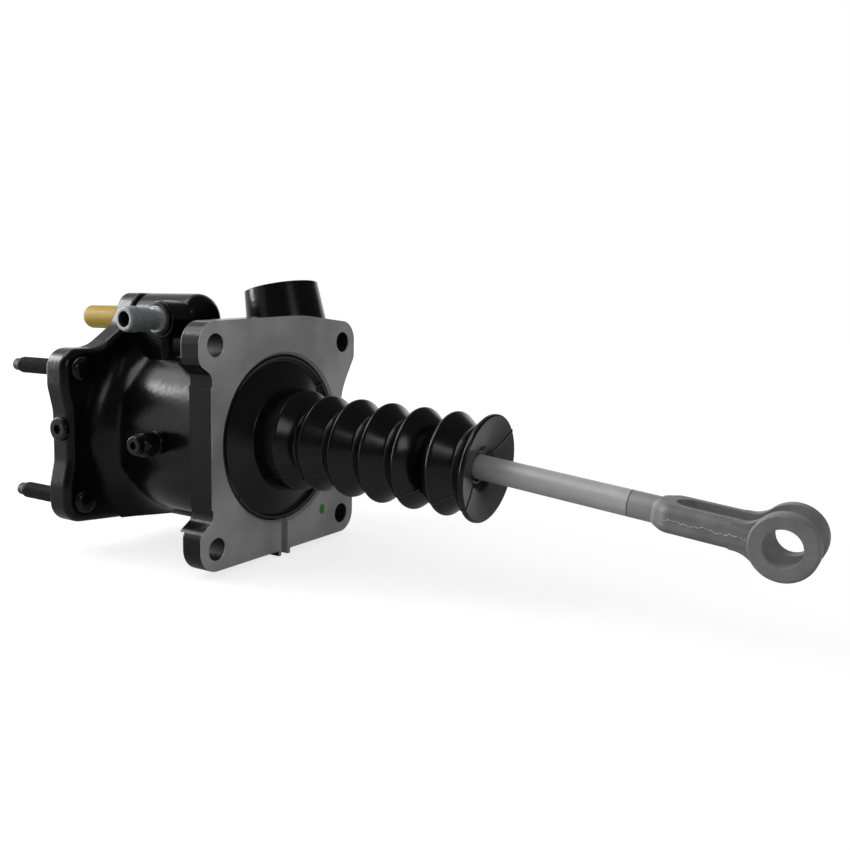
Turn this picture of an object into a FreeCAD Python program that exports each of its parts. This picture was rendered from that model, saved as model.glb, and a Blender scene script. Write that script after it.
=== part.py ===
import FreeCAD, Part
import math
import os

# Hydraulic brake booster with a cast housing, a bellows over the input, and a bent pedal push rod.
# Frame: the origin is the centre of the rear mounting face, +X runs along the booster's axis
# towards the brake pedal, +Z is up, and the return hose barb points along -Y. Millimetres.

# Rear mounting flange: four plain holes on a square, lugs at the corners, a pad on the near side
BOLT_SPACING = 108.0
BOLT_HOLE_R = 6.2
FLANGE_THICK = 16.0
LUG_THICK = 13.8
LUG_BACK_R = 1.5
CROWN_Y = 15.0
CROWN = 4.2
CROWN_R = 120.0
LUG_R = 12.0
PAD_Y = 57.6
PAD_RELIEF = 1.0
PAD_HALF = 32.5
LUG_NECK = 9.5
NECK_R = 6.0
FAR_WAIST_Y = 52.5
FAR_WAIST_HALF = 22.0
WAIST_R = 40.0
RECESS_R = 48.0
RECESS_DEPTH = 8.0
RECESS_CHAMFER = 1.5
SLOT_WIDTH = 5.6
SLOT_DEPTH = 4.0
TAB_WIDTH = 10.0
TAB_DROP = 3.0
TAB_ROOT = 6.0
TAB_DEPTH = 9.0

# Barrel and its bore
BARREL_R = 51.4
BORE_R = 40.0
PLATE_FLARE = 15.0
FLANGE_FLARE = 5.0
RIB_R = 9.0
RIB_DROP = 57.0

# Front plate that carries the master cylinder
PLATE_BACK_X = -91.0
PLATE_THICK = 15.5
FRONT_WALL = 12.5
STUD_SPACING_Y = 133.4
STUD_SPACING_Z = 75.0
PLATE_LUG_R = 11.6
PLATE_WAIST = 3.1
PLATE_WAIST_HALF = 14.0
PLATE_SAG = 6.5
PLATE_EDGE_R = 4.0
PLATE_FACE_R = 1.5
STUD_R = 4.76
STUD_REACH = 43.0
STUD_KNURL_R = 5.1
STUD_HEAD_R = 7.0
STUD_HEAD = 3.6
STUD_TIP_R = 3.2
STUD_TIP = 4.0
STUD_DOME_R = 2.4
STUD_FIT = 0.1

# Valve body on top of the barrel, with the pressure inlet in front and the return barb at its side
VALVE_Y = -14.0
VALVE_Z = 66.0
VALVE_R = 15.2
VALVE_END_X = -47.0
VALVE_DOME_R = 7.0
VALVE_BORE_R = 9.0
VALVE_WALL = 9.0
LOBE_SHOULDER = 21.0
LOBE_TOP_HALF = 11.0
LOBE_SHOULDER_Z = 62.0
WEB_HALF = 11.0
WEB_NEAR_END_X = -64.0
WEB_CORNER_R = 6.0
BARB_X = -58.0
BARB_BOSS_R = 10.8
BARB_BOSS_REACH = 25.5
BARB_PORT_R = 7.0
BARB_PORT_DEPTH = 9.0
BARB_TUBE_R = 6.8
BARB_BEAD_R = 7.3
BARB_BEAD = 8.0
BARB_NECK_R = 5.7
BARB_NECK = 4.0
BARB_BORE_R = 4.2
BARB_LENGTH = 21.0
BARB_COLLAR_R = 7.7
BARB_COLLAR = 3.6
INLET_HEX = 20.0
INLET_HEX_LENGTH = 6.0
INLET_THREAD = 14.0
INLET_NOSE_R = 4.6
INLET_NOSE = 27.0
INLET_BORE_R = 2.8
SPOT_FACE_R = 12.6
SPOT_FACE = 1.4
INLET_WASHER_R = 11.4
INLET_WASHER = 1.0
CAP_R = 7.2
CAP_WALL = 1.2
CAP_LENGTH = 37.4
CAP_END_R = 3.0
SHUTTLE_LENGTH = 14.0
SHUTTLE_WIRE = 0.9

# Ports on the barrel and the plate edge
SIDE_PORT_X = -46.4
SIDE_PORT_Z = -1.2
SIDE_BOSS_R = 6.9
SIDE_BOSS_PROUD = 5.0
SIDE_PORT_R = 4.4
SIDE_PORT_DEPTH = 17.0
SIDE_WASHER = 1.4
SIDE_WASHER_R = 6.7
SIDE_HEX = 13.0
SIDE_HEX_LENGTH = 8.6
SIDE_NOSE_R = 5.2
SIDE_NOSE = 3.0
SIDE_HOLE_R = 2.2
EDGE_PORT_Z = 4.0
EDGE_PORT_R = 4.5
EDGE_PORT_DEPTH = 24.0
EDGE_DRILL_R = 2.5
EDGE_DRILL_END = 33.0
EDGE_PLUG_R = 6.9
EDGE_PLUG_HEAD = 2.6
EDGE_PLUG_SHANK = 7.0
CHECK_BALL_R = 3.5
CHECK_WIRE = 0.7

# Boss for the reserve pump, closed by a plug
PUMP_TOP_X = -31.0
PUMP_TOP_Y = 32.3
PUMP_TOP_Z = 86.3
PUMP_LEAN = 12.0
PUMP_TOP_R = 22.3
PUMP_FOOT_R = 25.0
PUMP_HEIGHT = 36.0
PUMP_SHOULDER_Y = 62.0
PUMP_SHOULDER_Z = 57.0
PUMP_SHOULDER_R = 9.0
PUMP_PORT_R = 14.0
PUMP_PORT_DEPTH = 12.0
PUMP_PLUG_HEX = 14.0
PUMP_HEX_DEPTH = 6.0

# Power piston, its rings and spring, and the rod that pushes the master cylinder
PISTON_FIT = 0.2
PISTON_THICK = 16.0
PISTON_REST_GAP = 0.5
POCKET_DEPTH = 12.0
HUB_R = 20.0
HUB_LENGTH = 8.0
PISTON_SEAL = 3.6
PISTON_SEAL_DEPTH = 3.0
GUIDE_WIDTH = 2.6
GUIDE_DEPTH = 1.8
SPRING_R = 30.0
SPRING_WIRE = 3.8
SPRING_TURNS = 4.0
OUTPUT_R = 12.0
OUTPUT_PROUD = 9.5
OUTPUT_NOSE_R = 9.0
OUTPUT_NOSE = 7.0
OUTPUT_SEAL = 4.0
FACE_RING_R = 22.0
RING_SECTION = 1.3

# End plug, input piston and ball joint
PLUG_THICK = 12.0
SNAP_RING = 1.8
SNAP_RING_DEPTH = 2.4
SNAP_RING_WIDTH = 6.0
SNAP_RING_GAP = 14.0
INPUT_R = 14.0
SLIDE_FIT = 0.05
INPUT_REAR_X = 8.0
INPUT_SEAL = 4.6
INPUT_SEAL_DEPTH = 3.4
THROTTLE_GAP = 2.0
POPPET_R = 4.1
POPPET_BORE_DEPTH = 10.0
POPPET_LENGTH = 7.0
POPPET_PROUD = 1.2
POPPET_WIRE = 0.5
BALL_X = -1.0
BALL_R = 9.5
BALL_FIT = 0.08
RETAINER_START = 4.0
TILT = 3.0

# Pedal push rod, bent inside the bellows, with a forged clevis welded to its end
ROD_R = 6.35
BEND_X = 101.0
BEND_ANGLE = 5.9
BEND_R = 120.0
SHANK_START = 104.5
YOKE_START = 116.0
SHOULDER = 6.5
ARM_HALF_WIDTH = 14.7
ARM_HEIGHT = 12.6
ARM_EDGE_R = 3.6
EYE_CENTRE = 173.0
EYE_R = 14.2
EYE_HALF_WIDTH = 15.5
EYE_EDGE_R = 1.2
PIN_R = 8.0
SLOT_HALF = 7.4
SLOT_ROOT = 125.0
FLARE_START = 152.0

# Rubber bellows
BOOT_GAP = 0.3
BEAD_FIT = 0.4
BEAD_RIM = 2.2
BEAD_BACK_X = -7.6
BEAD_FRONT_X = -1.6
WEB_RIM_X = -3.0
WEB_WALL = 2.4
BOOT_WALL = 2.3
BOOT_VALLEY_R = 18.6
BOOT_DROOP = 1.7
BOOT_JOIN_X = 24.5
WEB_CORNER = (3.0, 29.6)
BASE_CREST = (16.6, 28.4)
FOLD_FIRST_X = 32.0
FOLD_PITCH = 20.0
FOLD_COUNT = 5
FOLD_R = 27.5
FOLD_CREST_R = 2.4
FOLD_VALLEY_R = 1.6
DISC_R = 27.8
DISC_RIM = 3.0
DISC_DISH = 2.5
NECK_LENGTH = 7.0
NECK_WALL = 2.6

# Places worked out from the driving dimensions
PLATE_FACE_X = PLATE_BACK_X - PLATE_THICK
BORE_END_X = PLATE_FACE_X + FRONT_WALL
INLET_SEAT_X = PLATE_FACE_X + SPOT_FACE - INLET_WASHER
INLET_HEX_X = INLET_SEAT_X - INLET_HEX_LENGTH
HALF_BOLT = BOLT_SPACING / 2
SIDE_BOSS_REACH = BARREL_R + SIDE_BOSS_PROUD
BEAD_R = RECESS_R - BEAD_FIT
BEAD_INNER_R = BEAD_R - BEAD_RIM
FLANGE_HALF = HALF_BOLT + LUG_R
RECESS_X = -RECESS_DEPTH
SNAP_REAR_X = RECESS_X - 1.6
SNAP_FRONT_X = SNAP_REAR_X - SNAP_RING - 0.2
PLUG_REAR_X = SNAP_FRONT_X - 0.1
PLUG_FRONT_X = PLUG_REAR_X - PLUG_THICK
PISTON_REAR_X = PLUG_FRONT_X - PISTON_REST_GAP
PISTON_FRONT_X = PISTON_REAR_X - PISTON_THICK
POCKET_X = PISTON_REAR_X - POCKET_DEPTH
INPUT_FRONT_X = POCKET_X + THROTTLE_GAP
HUB_X = PISTON_FRONT_X - HUB_LENGTH
PISTON_R = BORE_R - PISTON_FIT
PUMP_TOP = FreeCAD.Vector(PUMP_TOP_X, PUMP_TOP_Y, PUMP_TOP_Z)
AXIS = FreeCAD.Vector(1, 0, 0)
NEAR = FreeCAD.Vector(0, -1, 0)
DISC_X = FOLD_FIRST_X + FOLD_COUNT * FOLD_PITCH
ALL_ROUND = 360
COIL_RUNS = 16
MITRED = 1
WIDE = 2 * STUD_SPACING_Y


def vec(x, y, z):
    return FreeCAD.Vector(x, y, z)


def rounded_loop(corners):
    """Closed wire of straight runs through (point, radius) corners, each radius as a tangent arc."""
    count = len(corners)
    arcs = []
    for i in range(count):
        here, radius = corners[i]
        to_last = (corners[i - 1][0] - here).normalize()
        to_next = (corners[(i + 1) % count][0] - here).normalize()
        if radius == 0:
            arcs.append((here, None, here))
            continue
        half = to_last.getAngle(to_next) / 2
        reach = radius / math.tan(half)
        inward = (to_last + to_next).normalize()
        middle = here + inward * (radius / math.sin(half) - radius)
        arcs.append((here + to_last * reach, middle, here + to_next * reach))
    edges = []
    for i in range(count):
        start, middle, end = arcs[i]
        if middle is not None:
            edges.append(Part.Arc(start, middle, end).toShape())
        following = arcs[(i + 1) % count][0]
        if end.distanceToPoint(following) > 1e-6:
            edges.append(Part.LineSegment(end, following).toShape())
    return Part.Wire(edges)


def cross_prism(corners, x0, x1):
    """Prism along X from x0 to x1 over an outline of (y, z, radius) corners."""
    wire = rounded_loop([(vec(x0, y, z), r) for y, z, r in corners])
    return Part.Face(wire).extrude(vec(x1 - x0, 0, 0))


def plan_prism(corners, z0, z1):
    """Prism along Z over a plan outline of (x, y, radius) corners."""
    wire = rounded_loop([(vec(x, y, z0), r) for x, y, r in corners])
    return Part.Face(wire).extrude(vec(0, 0, z1 - z0))


def side_prism(corners, y0, y1):
    """Prism along Y over a side outline of (x, z, radius) corners."""
    wire = rounded_loop([(vec(x, y0, z), r) for x, z, r in corners])
    return Part.Face(wire).extrude(vec(0, y1 - y0, 0))


def turned(corners):
    """Solid of revolution about X from (x, radius, fillet) corners."""
    wire = rounded_loop([(vec(x, 0, r), fillet) for x, r, fillet in corners])
    return Part.Face(wire).revolve(vec(0, 0, 0), AXIS, ALL_ROUND)


def disc(x0, x1, radius):
    """Plain cylinder on the X axis between two places."""
    return Part.makeCylinder(radius, abs(x1 - x0), vec(min(x0, x1), 0, 0), AXIS)


def ring(x0, x1, outer, inner):
    """Plain ring on the X axis."""
    return disc(x0, x1, outer).cut(disc(min(x0, x1) - 1, max(x0, x1) + 1, inner))


def o_ring(x, radius, section):
    """Round-section ring about X, at the mean radius given."""
    return Part.makeTorus(radius, section, vec(x, 0, 0), AXIS)


def hex_bar(x0, x1, across_flats):
    """Six-sided bar along X."""
    corner = across_flats / math.sqrt(3)
    turns = [math.radians(60 * i) for i in range(6)]
    return cross_prism([(corner * math.cos(a), corner * math.sin(a), 0) for a in turns], x0, x1)


def coil(x0, x1, radius, wire, turns):
    """Round wire wound about X between two places, in short straight runs with mitred corners."""
    low = min(x0, x1) + wire / 2
    rise = (abs(x1 - x0) - wire) / (2 * math.pi * turns)
    points = []
    for i in range(int(turns * COIL_RUNS) + 1):
        turn = 2 * math.pi * i / COIL_RUNS
        points.append(vec(low + rise * turn, radius * math.cos(turn), radius * math.sin(turn)))
    section = Part.Wire(Part.makeCircle(wire / 2, points[0], points[1] - points[0]))
    return Part.makePolygon(points).makePipeShell([section], True, False, MITRED)


def placed(shape, base, direction):
    """A piece made along X at the origin, moved so that its X axis runs from base along direction."""
    moved = shape.copy()
    moved.Placement = FreeCAD.Placement(base, FreeCAD.Rotation(AXIS, direction))
    return moved


def rounded_edges(shape, radius, x):
    """Rounds every edge that lies in the plane at x."""
    chosen = []
    for edge in shape.Edges:
        box = edge.BoundBox
        if abs(box.XMin - x) < 1e-4 and abs(box.XMax - x) < 1e-4:
            chosen.append(edge)
    return shape.makeFillet(radius, chosen)


def joined(first, *others):
    """One solid from pieces that overlap."""
    return first.multiFuse(list(others)).removeSplitter()


# Housing casting

def flange_outline():
    """Corners of the rear flange: near side first, then the far side's long hollow."""
    outer = FLANGE_HALF
    neck = HALF_BOLT - LUG_NECK
    relief = PAD_Y - PAD_RELIEF
    near = [
        (-outer, outer, LUG_R), (-outer, neck, NECK_R), (-relief, neck - NECK_R, NECK_R),
        (-relief, PAD_HALF, 0), (-PAD_Y, PAD_HALF, 0), (-PAD_Y, -PAD_HALF, 0),
        (-relief, -PAD_HALF, 0), (-relief, NECK_R - neck, NECK_R), (-outer, -neck, NECK_R),
        (-outer, -outer, LUG_R),
    ]
    far = [
        (outer, -outer, LUG_R), (outer, -neck, NECK_R), (FAR_WAIST_Y, -FAR_WAIST_HALF, WAIST_R),
        (FAR_WAIST_Y, FAR_WAIST_HALF, WAIST_R), (outer, neck, NECK_R), (outer, outer, LUG_R),
        (CROWN_Y, outer + CROWN, CROWN_R),
    ]
    return near + far


def flange_body():
    """Flange plate with rounded lug backs, thicker between the lugs."""
    plate = rounded_edges(cross_prism(flange_outline(), -LUG_THICK, 0), LUG_BACK_R, -LUG_THICK)
    reach = HALF_BOLT - LUG_NECK
    between = Part.makeBox(FLANGE_THICK, 4 * reach, 2 * reach, vec(-FLANGE_THICK, -2 * reach, -reach))
    return joined(plate, cross_prism(flange_outline(), -FLANGE_THICK, 0).common(between))


def plate_outline():
    """Corners of the front plate: four lugs, waisted sides, and a lobe round the valve body."""
    side = STUD_SPACING_Y / 2 + PLATE_LUG_R
    top = STUD_SPACING_Z / 2 + PLATE_LUG_R
    waist = side - PLATE_WAIST
    lobe_top = VALVE_Z + VALVE_R
    near = VALVE_Y - LOBE_SHOULDER
    far = VALVE_Y + LOBE_SHOULDER
    foot = LOBE_SHOULDER + (LOBE_SHOULDER_Z - top) * 1.4
    return [
        (0, -top - PLATE_SAG, 60), (-side, -top, PLATE_LUG_R), (-side, -28, 20), (-waist, -PLATE_WAIST_HALF, 20),
        (-waist, PLATE_WAIST_HALF, 20), (-side, 28, 20), (-side, top, PLATE_LUG_R), (VALVE_Y - foot, top, 20),
        (near, LOBE_SHOULDER_Z, 16), (VALVE_Y - LOBE_TOP_HALF, lobe_top, 9),
        (VALVE_Y + LOBE_TOP_HALF, lobe_top, 9), (far, LOBE_SHOULDER_Z, 16),
        (VALVE_Y + foot, top, 20), (side, top, PLATE_LUG_R), (side, 28, 20), (waist, PLATE_WAIST_HALF, 20),
        (waist, -PLATE_WAIST_HALF, 20), (side, -28, 20), (side, -top, PLATE_LUG_R),
    ]


def barrel_body():
    """Barrel with a hollow flare at each end, held inside the outlines of the plate and flange."""
    plain = disc(PLATE_BACK_X - 1, -1, BARREL_R)
    front = turned([
        (PLATE_BACK_X - 1, 0, 0), (PLATE_BACK_X - 1, BARREL_R + PLATE_FLARE, 0),
        (PLATE_BACK_X, BARREL_R + PLATE_FLARE, 0), (PLATE_BACK_X, BARREL_R, PLATE_FLARE - 0.01),
        (PLATE_BACK_X + PLATE_FLARE, BARREL_R, 0), (PLATE_BACK_X + PLATE_FLARE, 0, 0),
    ])
    front = front.common(cross_prism(plate_outline(), PLATE_BACK_X - 1, PLATE_BACK_X + PLATE_FLARE))
    rear_x = -FLANGE_THICK
    into = 1 - LUG_THICK
    rear = turned([
        (into, 0, 0), (into, BARREL_R + FLANGE_FLARE, 0),
        (rear_x, BARREL_R + FLANGE_FLARE, 0), (rear_x, BARREL_R, FLANGE_FLARE - 0.01),
        (rear_x - FLANGE_FLARE, BARREL_R, 0), (rear_x - FLANGE_FLARE, 0, 0),
    ])
    rear = rear.common(cross_prism(flange_outline(), into, rear_x - FLANGE_FLARE))
    rib = Part.makeCylinder(RIB_R, PLATE_BACK_X * -1 - 1, vec(PLATE_BACK_X, 0, RIB_R - RIB_DROP), AXIS)
    return joined(plain, front, rear, rib)


def valve_body():
    """Valve cylinder with a domed end, its web down to the barrel, and the barb's boss."""
    body = turned([
        (PLATE_BACK_X - 1, 0, 0), (PLATE_BACK_X - 1, VALVE_R, 0),
        (VALVE_END_X, VALVE_R, VALVE_DOME_R), (VALVE_END_X, 0, 0),
    ])
    body.translate(vec(0, VALVE_Y, VALVE_Z))
    web = plan_prism([
        (PLATE_BACK_X - 1, VALVE_Y - WEB_HALF, 0), (VALVE_END_X - 3, VALVE_Y - WEB_HALF, 8),
        (VALVE_END_X - 3, VALVE_Y + WEB_HALF, 8), (PLATE_BACK_X - 1, VALVE_Y + WEB_HALF, 0),
    ], BARREL_R - 15, VALVE_Z)
    boss = turned([
        (0, 0, 0), (0, BARB_BOSS_R, 0), (BARB_BOSS_REACH, BARB_BOSS_R, 1), (BARB_BOSS_REACH, 0, 0),
    ])
    boss = placed(boss, vec(BARB_X, VALVE_Y, VALVE_Z), NEAR)
    near_web = plan_prism([
        (PLATE_BACK_X - 1, VALVE_Y, 0), (PLATE_BACK_X - 1, VALVE_Y - VALVE_R, 0),
        (WEB_NEAR_END_X, VALVE_Y - VALVE_R, WEB_CORNER_R), (WEB_NEAR_END_X, VALVE_Y, 0),
    ], BARREL_R - 20, VALVE_Z)
    return joined(body, web, boss, near_web)


def pump_axis():
    """Unit direction in which the reserve pump's boss leans forward."""
    lean = math.radians(PUMP_LEAN)
    return vec(-math.sin(lean), 0, math.cos(lean))


def pump_boss():
    """Tapered leaning boss on a cast shoulder that meets the barrel's far side."""
    up = pump_axis()
    foot = PUMP_TOP - up * PUMP_HEIGHT
    boss = Part.makeCone(PUMP_FOOT_R, PUMP_TOP_R, PUMP_HEIGHT, foot, up)
    front = PUMP_TOP.x - PUMP_TOP_R + 2
    shoulder = cross_prism([
        (PUMP_TOP.y - PUMP_TOP_R, BARREL_R - 20, 0), (PUMP_TOP.y - PUMP_TOP_R + 4, PUMP_SHOULDER_Z, 8),
        (PUMP_SHOULDER_Y, PUMP_SHOULDER_Z, 8), (PUMP_SHOULDER_Y, PUMP_SHOULDER_Z - 14, 14),
        (BARREL_R - 1.5, 2, 12), (BARREL_R - 20, 0, 0),
    ], front, 1 - FLANGE_THICK)
    shoulder = rounded_edges(shoulder, PUMP_SHOULDER_R, front)
    behind_face = Part.makeBox(WIDE, WIDE, WIDE, vec(-WIDE - 2, -WIDE / 2, 0))
    return joined(boss, shoulder).common(behind_face)


def side_boss():
    """Boss on the barrel's near side for the hexagon plug."""
    start = BORE_R + 2
    boss = turned([
        (start, 0, 0), (start, SIDE_BOSS_R, 0), (SIDE_BOSS_REACH, SIDE_BOSS_R, 1.5),
        (SIDE_BOSS_REACH, 0, 0),
    ])
    return placed(boss, vec(SIDE_PORT_X, 0, SIDE_PORT_Z), NEAR)


def edge_port_y():
    """Distance of the plate's near edge from the axis, at mid height."""
    return STUD_SPACING_Y / 2 + PLATE_LUG_R - PLATE_WAIST


def plate_middle_x():
    return (PLATE_FACE_X + PLATE_BACK_X) / 2


def near_port(length, radius, x, z, y):
    """Cutter for a hole drilled in from the near side, from -y inwards."""
    return Part.makeCylinder(radius, length, vec(x, -y, z), vec(0, 1, 0))


def booster_housing():
    plate = cross_prism(plate_outline(), PLATE_FACE_X, PLATE_BACK_X)
    plate = rounded_edges(plate, PLATE_EDGE_R, PLATE_BACK_X)
    plate = rounded_edges(plate, PLATE_FACE_R, PLATE_FACE_X)
    tab = Part.makeBox(TAB_DEPTH, TAB_WIDTH, TAB_DROP + TAB_ROOT,
                       vec(-TAB_DEPTH, -TAB_WIDTH / 2, -FLANGE_HALF - TAB_DROP))
    body = joined(plate, flange_body(), tab, barrel_body(), valve_body(), pump_boss(), side_boss())

    cuts = [
        disc(BORE_END_X, 1, BORE_R),
        disc(RECESS_X, 1, RECESS_R),
        Part.makeCone(RECESS_R, RECESS_R + 2 * RECESS_CHAMFER, 2 * RECESS_CHAMFER,
                      vec(-RECESS_CHAMFER, 0, 0), AXIS),
        disc(SNAP_FRONT_X, SNAP_REAR_X, BORE_R + SNAP_RING_DEPTH),
        disc(PLATE_FACE_X - 1, BORE_END_X + 1, OUTPUT_R + 2 * SLIDE_FIT),
        disc(PLATE_FACE_X + 4, PLATE_FACE_X + 4 + OUTPUT_SEAL + 0.2, OUTPUT_R + 3),
        ring(PLATE_FACE_X - 1, PLATE_FACE_X + 2.3, FACE_RING_R + 1.5, FACE_RING_R - 1.5),
        Part.makeBox(SLOT_DEPTH + 1, SLOT_WIDTH, FLANGE_HALF,
                     vec(-SLOT_DEPTH, -SLOT_WIDTH / 2, -FLANGE_HALF - TAB_DROP - 1)),
    ]
    for y in (-HALF_BOLT, HALF_BOLT):
        for z in (-HALF_BOLT, HALF_BOLT):
            cuts.append(Part.makeCylinder(BOLT_HOLE_R, FLANGE_THICK + 40, vec(-FLANGE_THICK - 39, y, z), AXIS))
    for y, z in stud_places():
        cuts.append(Part.makeCylinder(STUD_KNURL_R + STUD_FIT, PLATE_THICK + 2, vec(PLATE_FACE_X - 1, y, z), AXIS))
        cuts.append(Part.makeCylinder(STUD_HEAD_R + 2, PLATE_FLARE, vec(PLATE_BACK_X, y, z), AXIS))
    bore_length = VALVE_END_X - VALVE_WALL - PLATE_FACE_X
    cuts.append(Part.makeCylinder(VALVE_BORE_R, bore_length + 1, vec(PLATE_FACE_X - 1, VALVE_Y, VALVE_Z), AXIS))
    cuts.append(Part.makeCylinder(SPOT_FACE_R, SPOT_FACE + 1, vec(PLATE_FACE_X - 1, VALVE_Y, VALVE_Z), AXIS))
    barb_face = BARB_BOSS_REACH - VALVE_Y
    cuts.append(near_port(BARB_PORT_DEPTH, BARB_PORT_R + SLIDE_FIT, BARB_X, VALVE_Z, barb_face))
    cuts.append(near_port(BARB_BOSS_REACH, BARB_BORE_R, BARB_X, VALVE_Z, barb_face))
    cuts.append(near_port(SIDE_PORT_DEPTH, SIDE_PORT_R + SLIDE_FIT, SIDE_PORT_X, SIDE_PORT_Z, SIDE_BOSS_REACH))
    edge_y = edge_port_y()
    x = plate_middle_x()
    cuts.append(near_port(EDGE_PORT_DEPTH, EDGE_PORT_R, x, EDGE_PORT_Z, edge_y))
    cuts.append(near_port(edge_y - EDGE_DRILL_END, EDGE_DRILL_R, x, EDGE_PORT_Z, edge_y))
    cuts.append(Part.makeCylinder(EDGE_DRILL_R, BORE_END_X - x + 1,
                                  vec(x, -EDGE_DRILL_END - EDGE_DRILL_R, EDGE_PORT_Z), AXIS))
    up = pump_axis()
    cuts.append(Part.makeCylinder(PUMP_PORT_R, PUMP_PORT_DEPTH + 1, PUMP_TOP - up * PUMP_PORT_DEPTH, up))
    return body.cut(Part.makeCompound(cuts))


def stud_places():
    """Centres of the four studs, in Y and Z."""
    half_y = STUD_SPACING_Y / 2
    half_z = STUD_SPACING_Z / 2
    return [(y, z) for y in (-half_y, half_y) for z in (-half_z, half_z)]


def master_cylinder_studs():
    """Four pressed-in studs, heads on the plate's rear face and threads to the front."""
    tip = PLATE_FACE_X - STUD_REACH
    stud = turned([
        (PLATE_BACK_X + STUD_HEAD, 0, 0), (PLATE_BACK_X + STUD_HEAD, STUD_HEAD_R, STUD_DOME_R),
        (PLATE_BACK_X, STUD_HEAD_R, 0), (PLATE_BACK_X, STUD_KNURL_R, 0),
        (PLATE_FACE_X, STUD_KNURL_R, 0), (PLATE_FACE_X, STUD_R, 0), (tip + STUD_TIP, STUD_R, 0),
        (tip + 1, STUD_TIP_R, 0.8), (tip, STUD_TIP_R - 1, 0), (tip, 0, 0),
    ])
    return Part.makeCompound([stud.translated(vec(0, y, z)) for y, z in stud_places()])


# Fittings in the valve body

def valve_axis(shape):
    return shape.translated(vec(0, VALVE_Y, VALVE_Z))


def return_hose_barb():
    """Screwed barb: thread in the boss, collar on its face, and a beaded tube for the hose."""
    collar = BARB_COLLAR
    end = BARB_COLLAR + BARB_LENGTH
    neck = collar + BARB_NECK
    barb = turned([
        (-BARB_PORT_DEPTH + 0.5, BARB_BORE_R, 0), (-BARB_PORT_DEPTH + 0.5, BARB_PORT_R, 0.5),
        (0, BARB_PORT_R, 0), (0, BARB_COLLAR_R, 0.6), (collar, BARB_COLLAR_R, 0.8),
        (collar, BARB_NECK_R, 0.6), (neck, BARB_NECK_R, 2), (neck + 2, BARB_TUBE_R, 2),
        (end - BARB_BEAD, BARB_TUBE_R, 0), (end - BARB_BEAD + 1, BARB_BEAD_R, 0.6),
        (end, BARB_BEAD_R - 0.6, 1.2), (end, BARB_BORE_R, 0.4),
    ])
    return placed(barb, vec(BARB_X, VALVE_Y - BARB_BOSS_REACH, VALVE_Z), NEAR)


def return_barb_seal():
    """Ring between the barb's collar rim and the boss face."""
    seal = o_ring(0.7, BARB_COLLAR_R + 0.75, 0.65)
    return placed(seal, vec(BARB_X, VALVE_Y - BARB_BOSS_REACH, VALVE_Z), NEAR)


def pressure_inlet_fitting():
    """Inlet with its thread in the valve bore, a hexagon on the plate and a tube nose."""
    start = INLET_SEAT_X
    hexagon = hex_bar(INLET_HEX_X, start, INLET_HEX)
    thread = disc(start - 1, start + INLET_THREAD, VALVE_BORE_R - SLIDE_FIT)
    nose_end = INLET_HEX_X - INLET_NOSE
    nose = turned([
        (start - 1, 0, 0), (start - 1, INLET_NOSE_R, 0), (nose_end, INLET_NOSE_R, 1.2), (nose_end, 0, 0),
    ])
    fitting = joined(hexagon, thread, nose).cut(disc(nose_end - 1, start + INLET_THREAD + 1, INLET_BORE_R))
    return valve_axis(fitting)


def inlet_fitting_seal():
    """Flat washer under the hexagon, in the plate's spot face."""
    end = INLET_SEAT_X + INLET_WASHER
    return valve_axis(ring(INLET_SEAT_X, end, INLET_WASHER_R, VALVE_BORE_R + SLIDE_FIT))


def protective_cap():
    """Thin moulded cap pushed over the inlet's nose, with a rounded closed end."""
    start = INLET_HEX_X - 0.3
    end = start - CAP_LENGTH
    outside = turned([
        (start, 0, 0), (start, CAP_R, 0.3), (end, CAP_R, CAP_END_R), (end, 0, 0),
    ])
    nose_end = INLET_HEX_X - INLET_NOSE
    hollow = turned([
        (start + 1, 0, 0), (start + 1, CAP_R - CAP_WALL, 0), (nose_end - 8, CAP_R - CAP_WALL, 2.5),
        (nose_end - 8, 0, 0),
    ])
    grips = []
    for turn in (0, 90, 180, 270):
        rib = Part.makeBox(INLET_NOSE - 4, 1.0, CAP_R - CAP_WALL - INLET_NOSE_R - 0.05,
                           vec(nose_end + 2, -0.5, INLET_NOSE_R + 0.1))
        rib.rotate(vec(0, 0, 0), AXIS, turn)
        grips.append(rib)
    return valve_axis(joined(outside.cut(hollow), *grips))


def valve_bore_end_x():
    return VALVE_END_X - VALVE_WALL


def shuttle_front_x():
    return INLET_SEAT_X + INLET_THREAD + 0.3


def flow_shuttle():
    """Cup that the inlet flow pushes back against its spring."""
    front = shuttle_front_x()
    back = front + SHUTTLE_LENGTH
    cup = turned([
        (front, 0, 0), (front, VALVE_BORE_R - 2 * SLIDE_FIT, 0.6), (back, VALVE_BORE_R - 2 * SLIDE_FIT, 0.6),
        (back, VALVE_BORE_R - 2, 0), (front + 4, VALVE_BORE_R - 2, 0), (front + 4, 0, 0),
    ])
    return valve_axis(cup)


def flow_shuttle_spring():
    start = shuttle_front_x() + 4.1
    return valve_axis(coil(start, valve_bore_end_x() - 0.1, VALVE_BORE_R - 3.2, SHUTTLE_WIRE, 7))


# Plugs and the check valve

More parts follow.
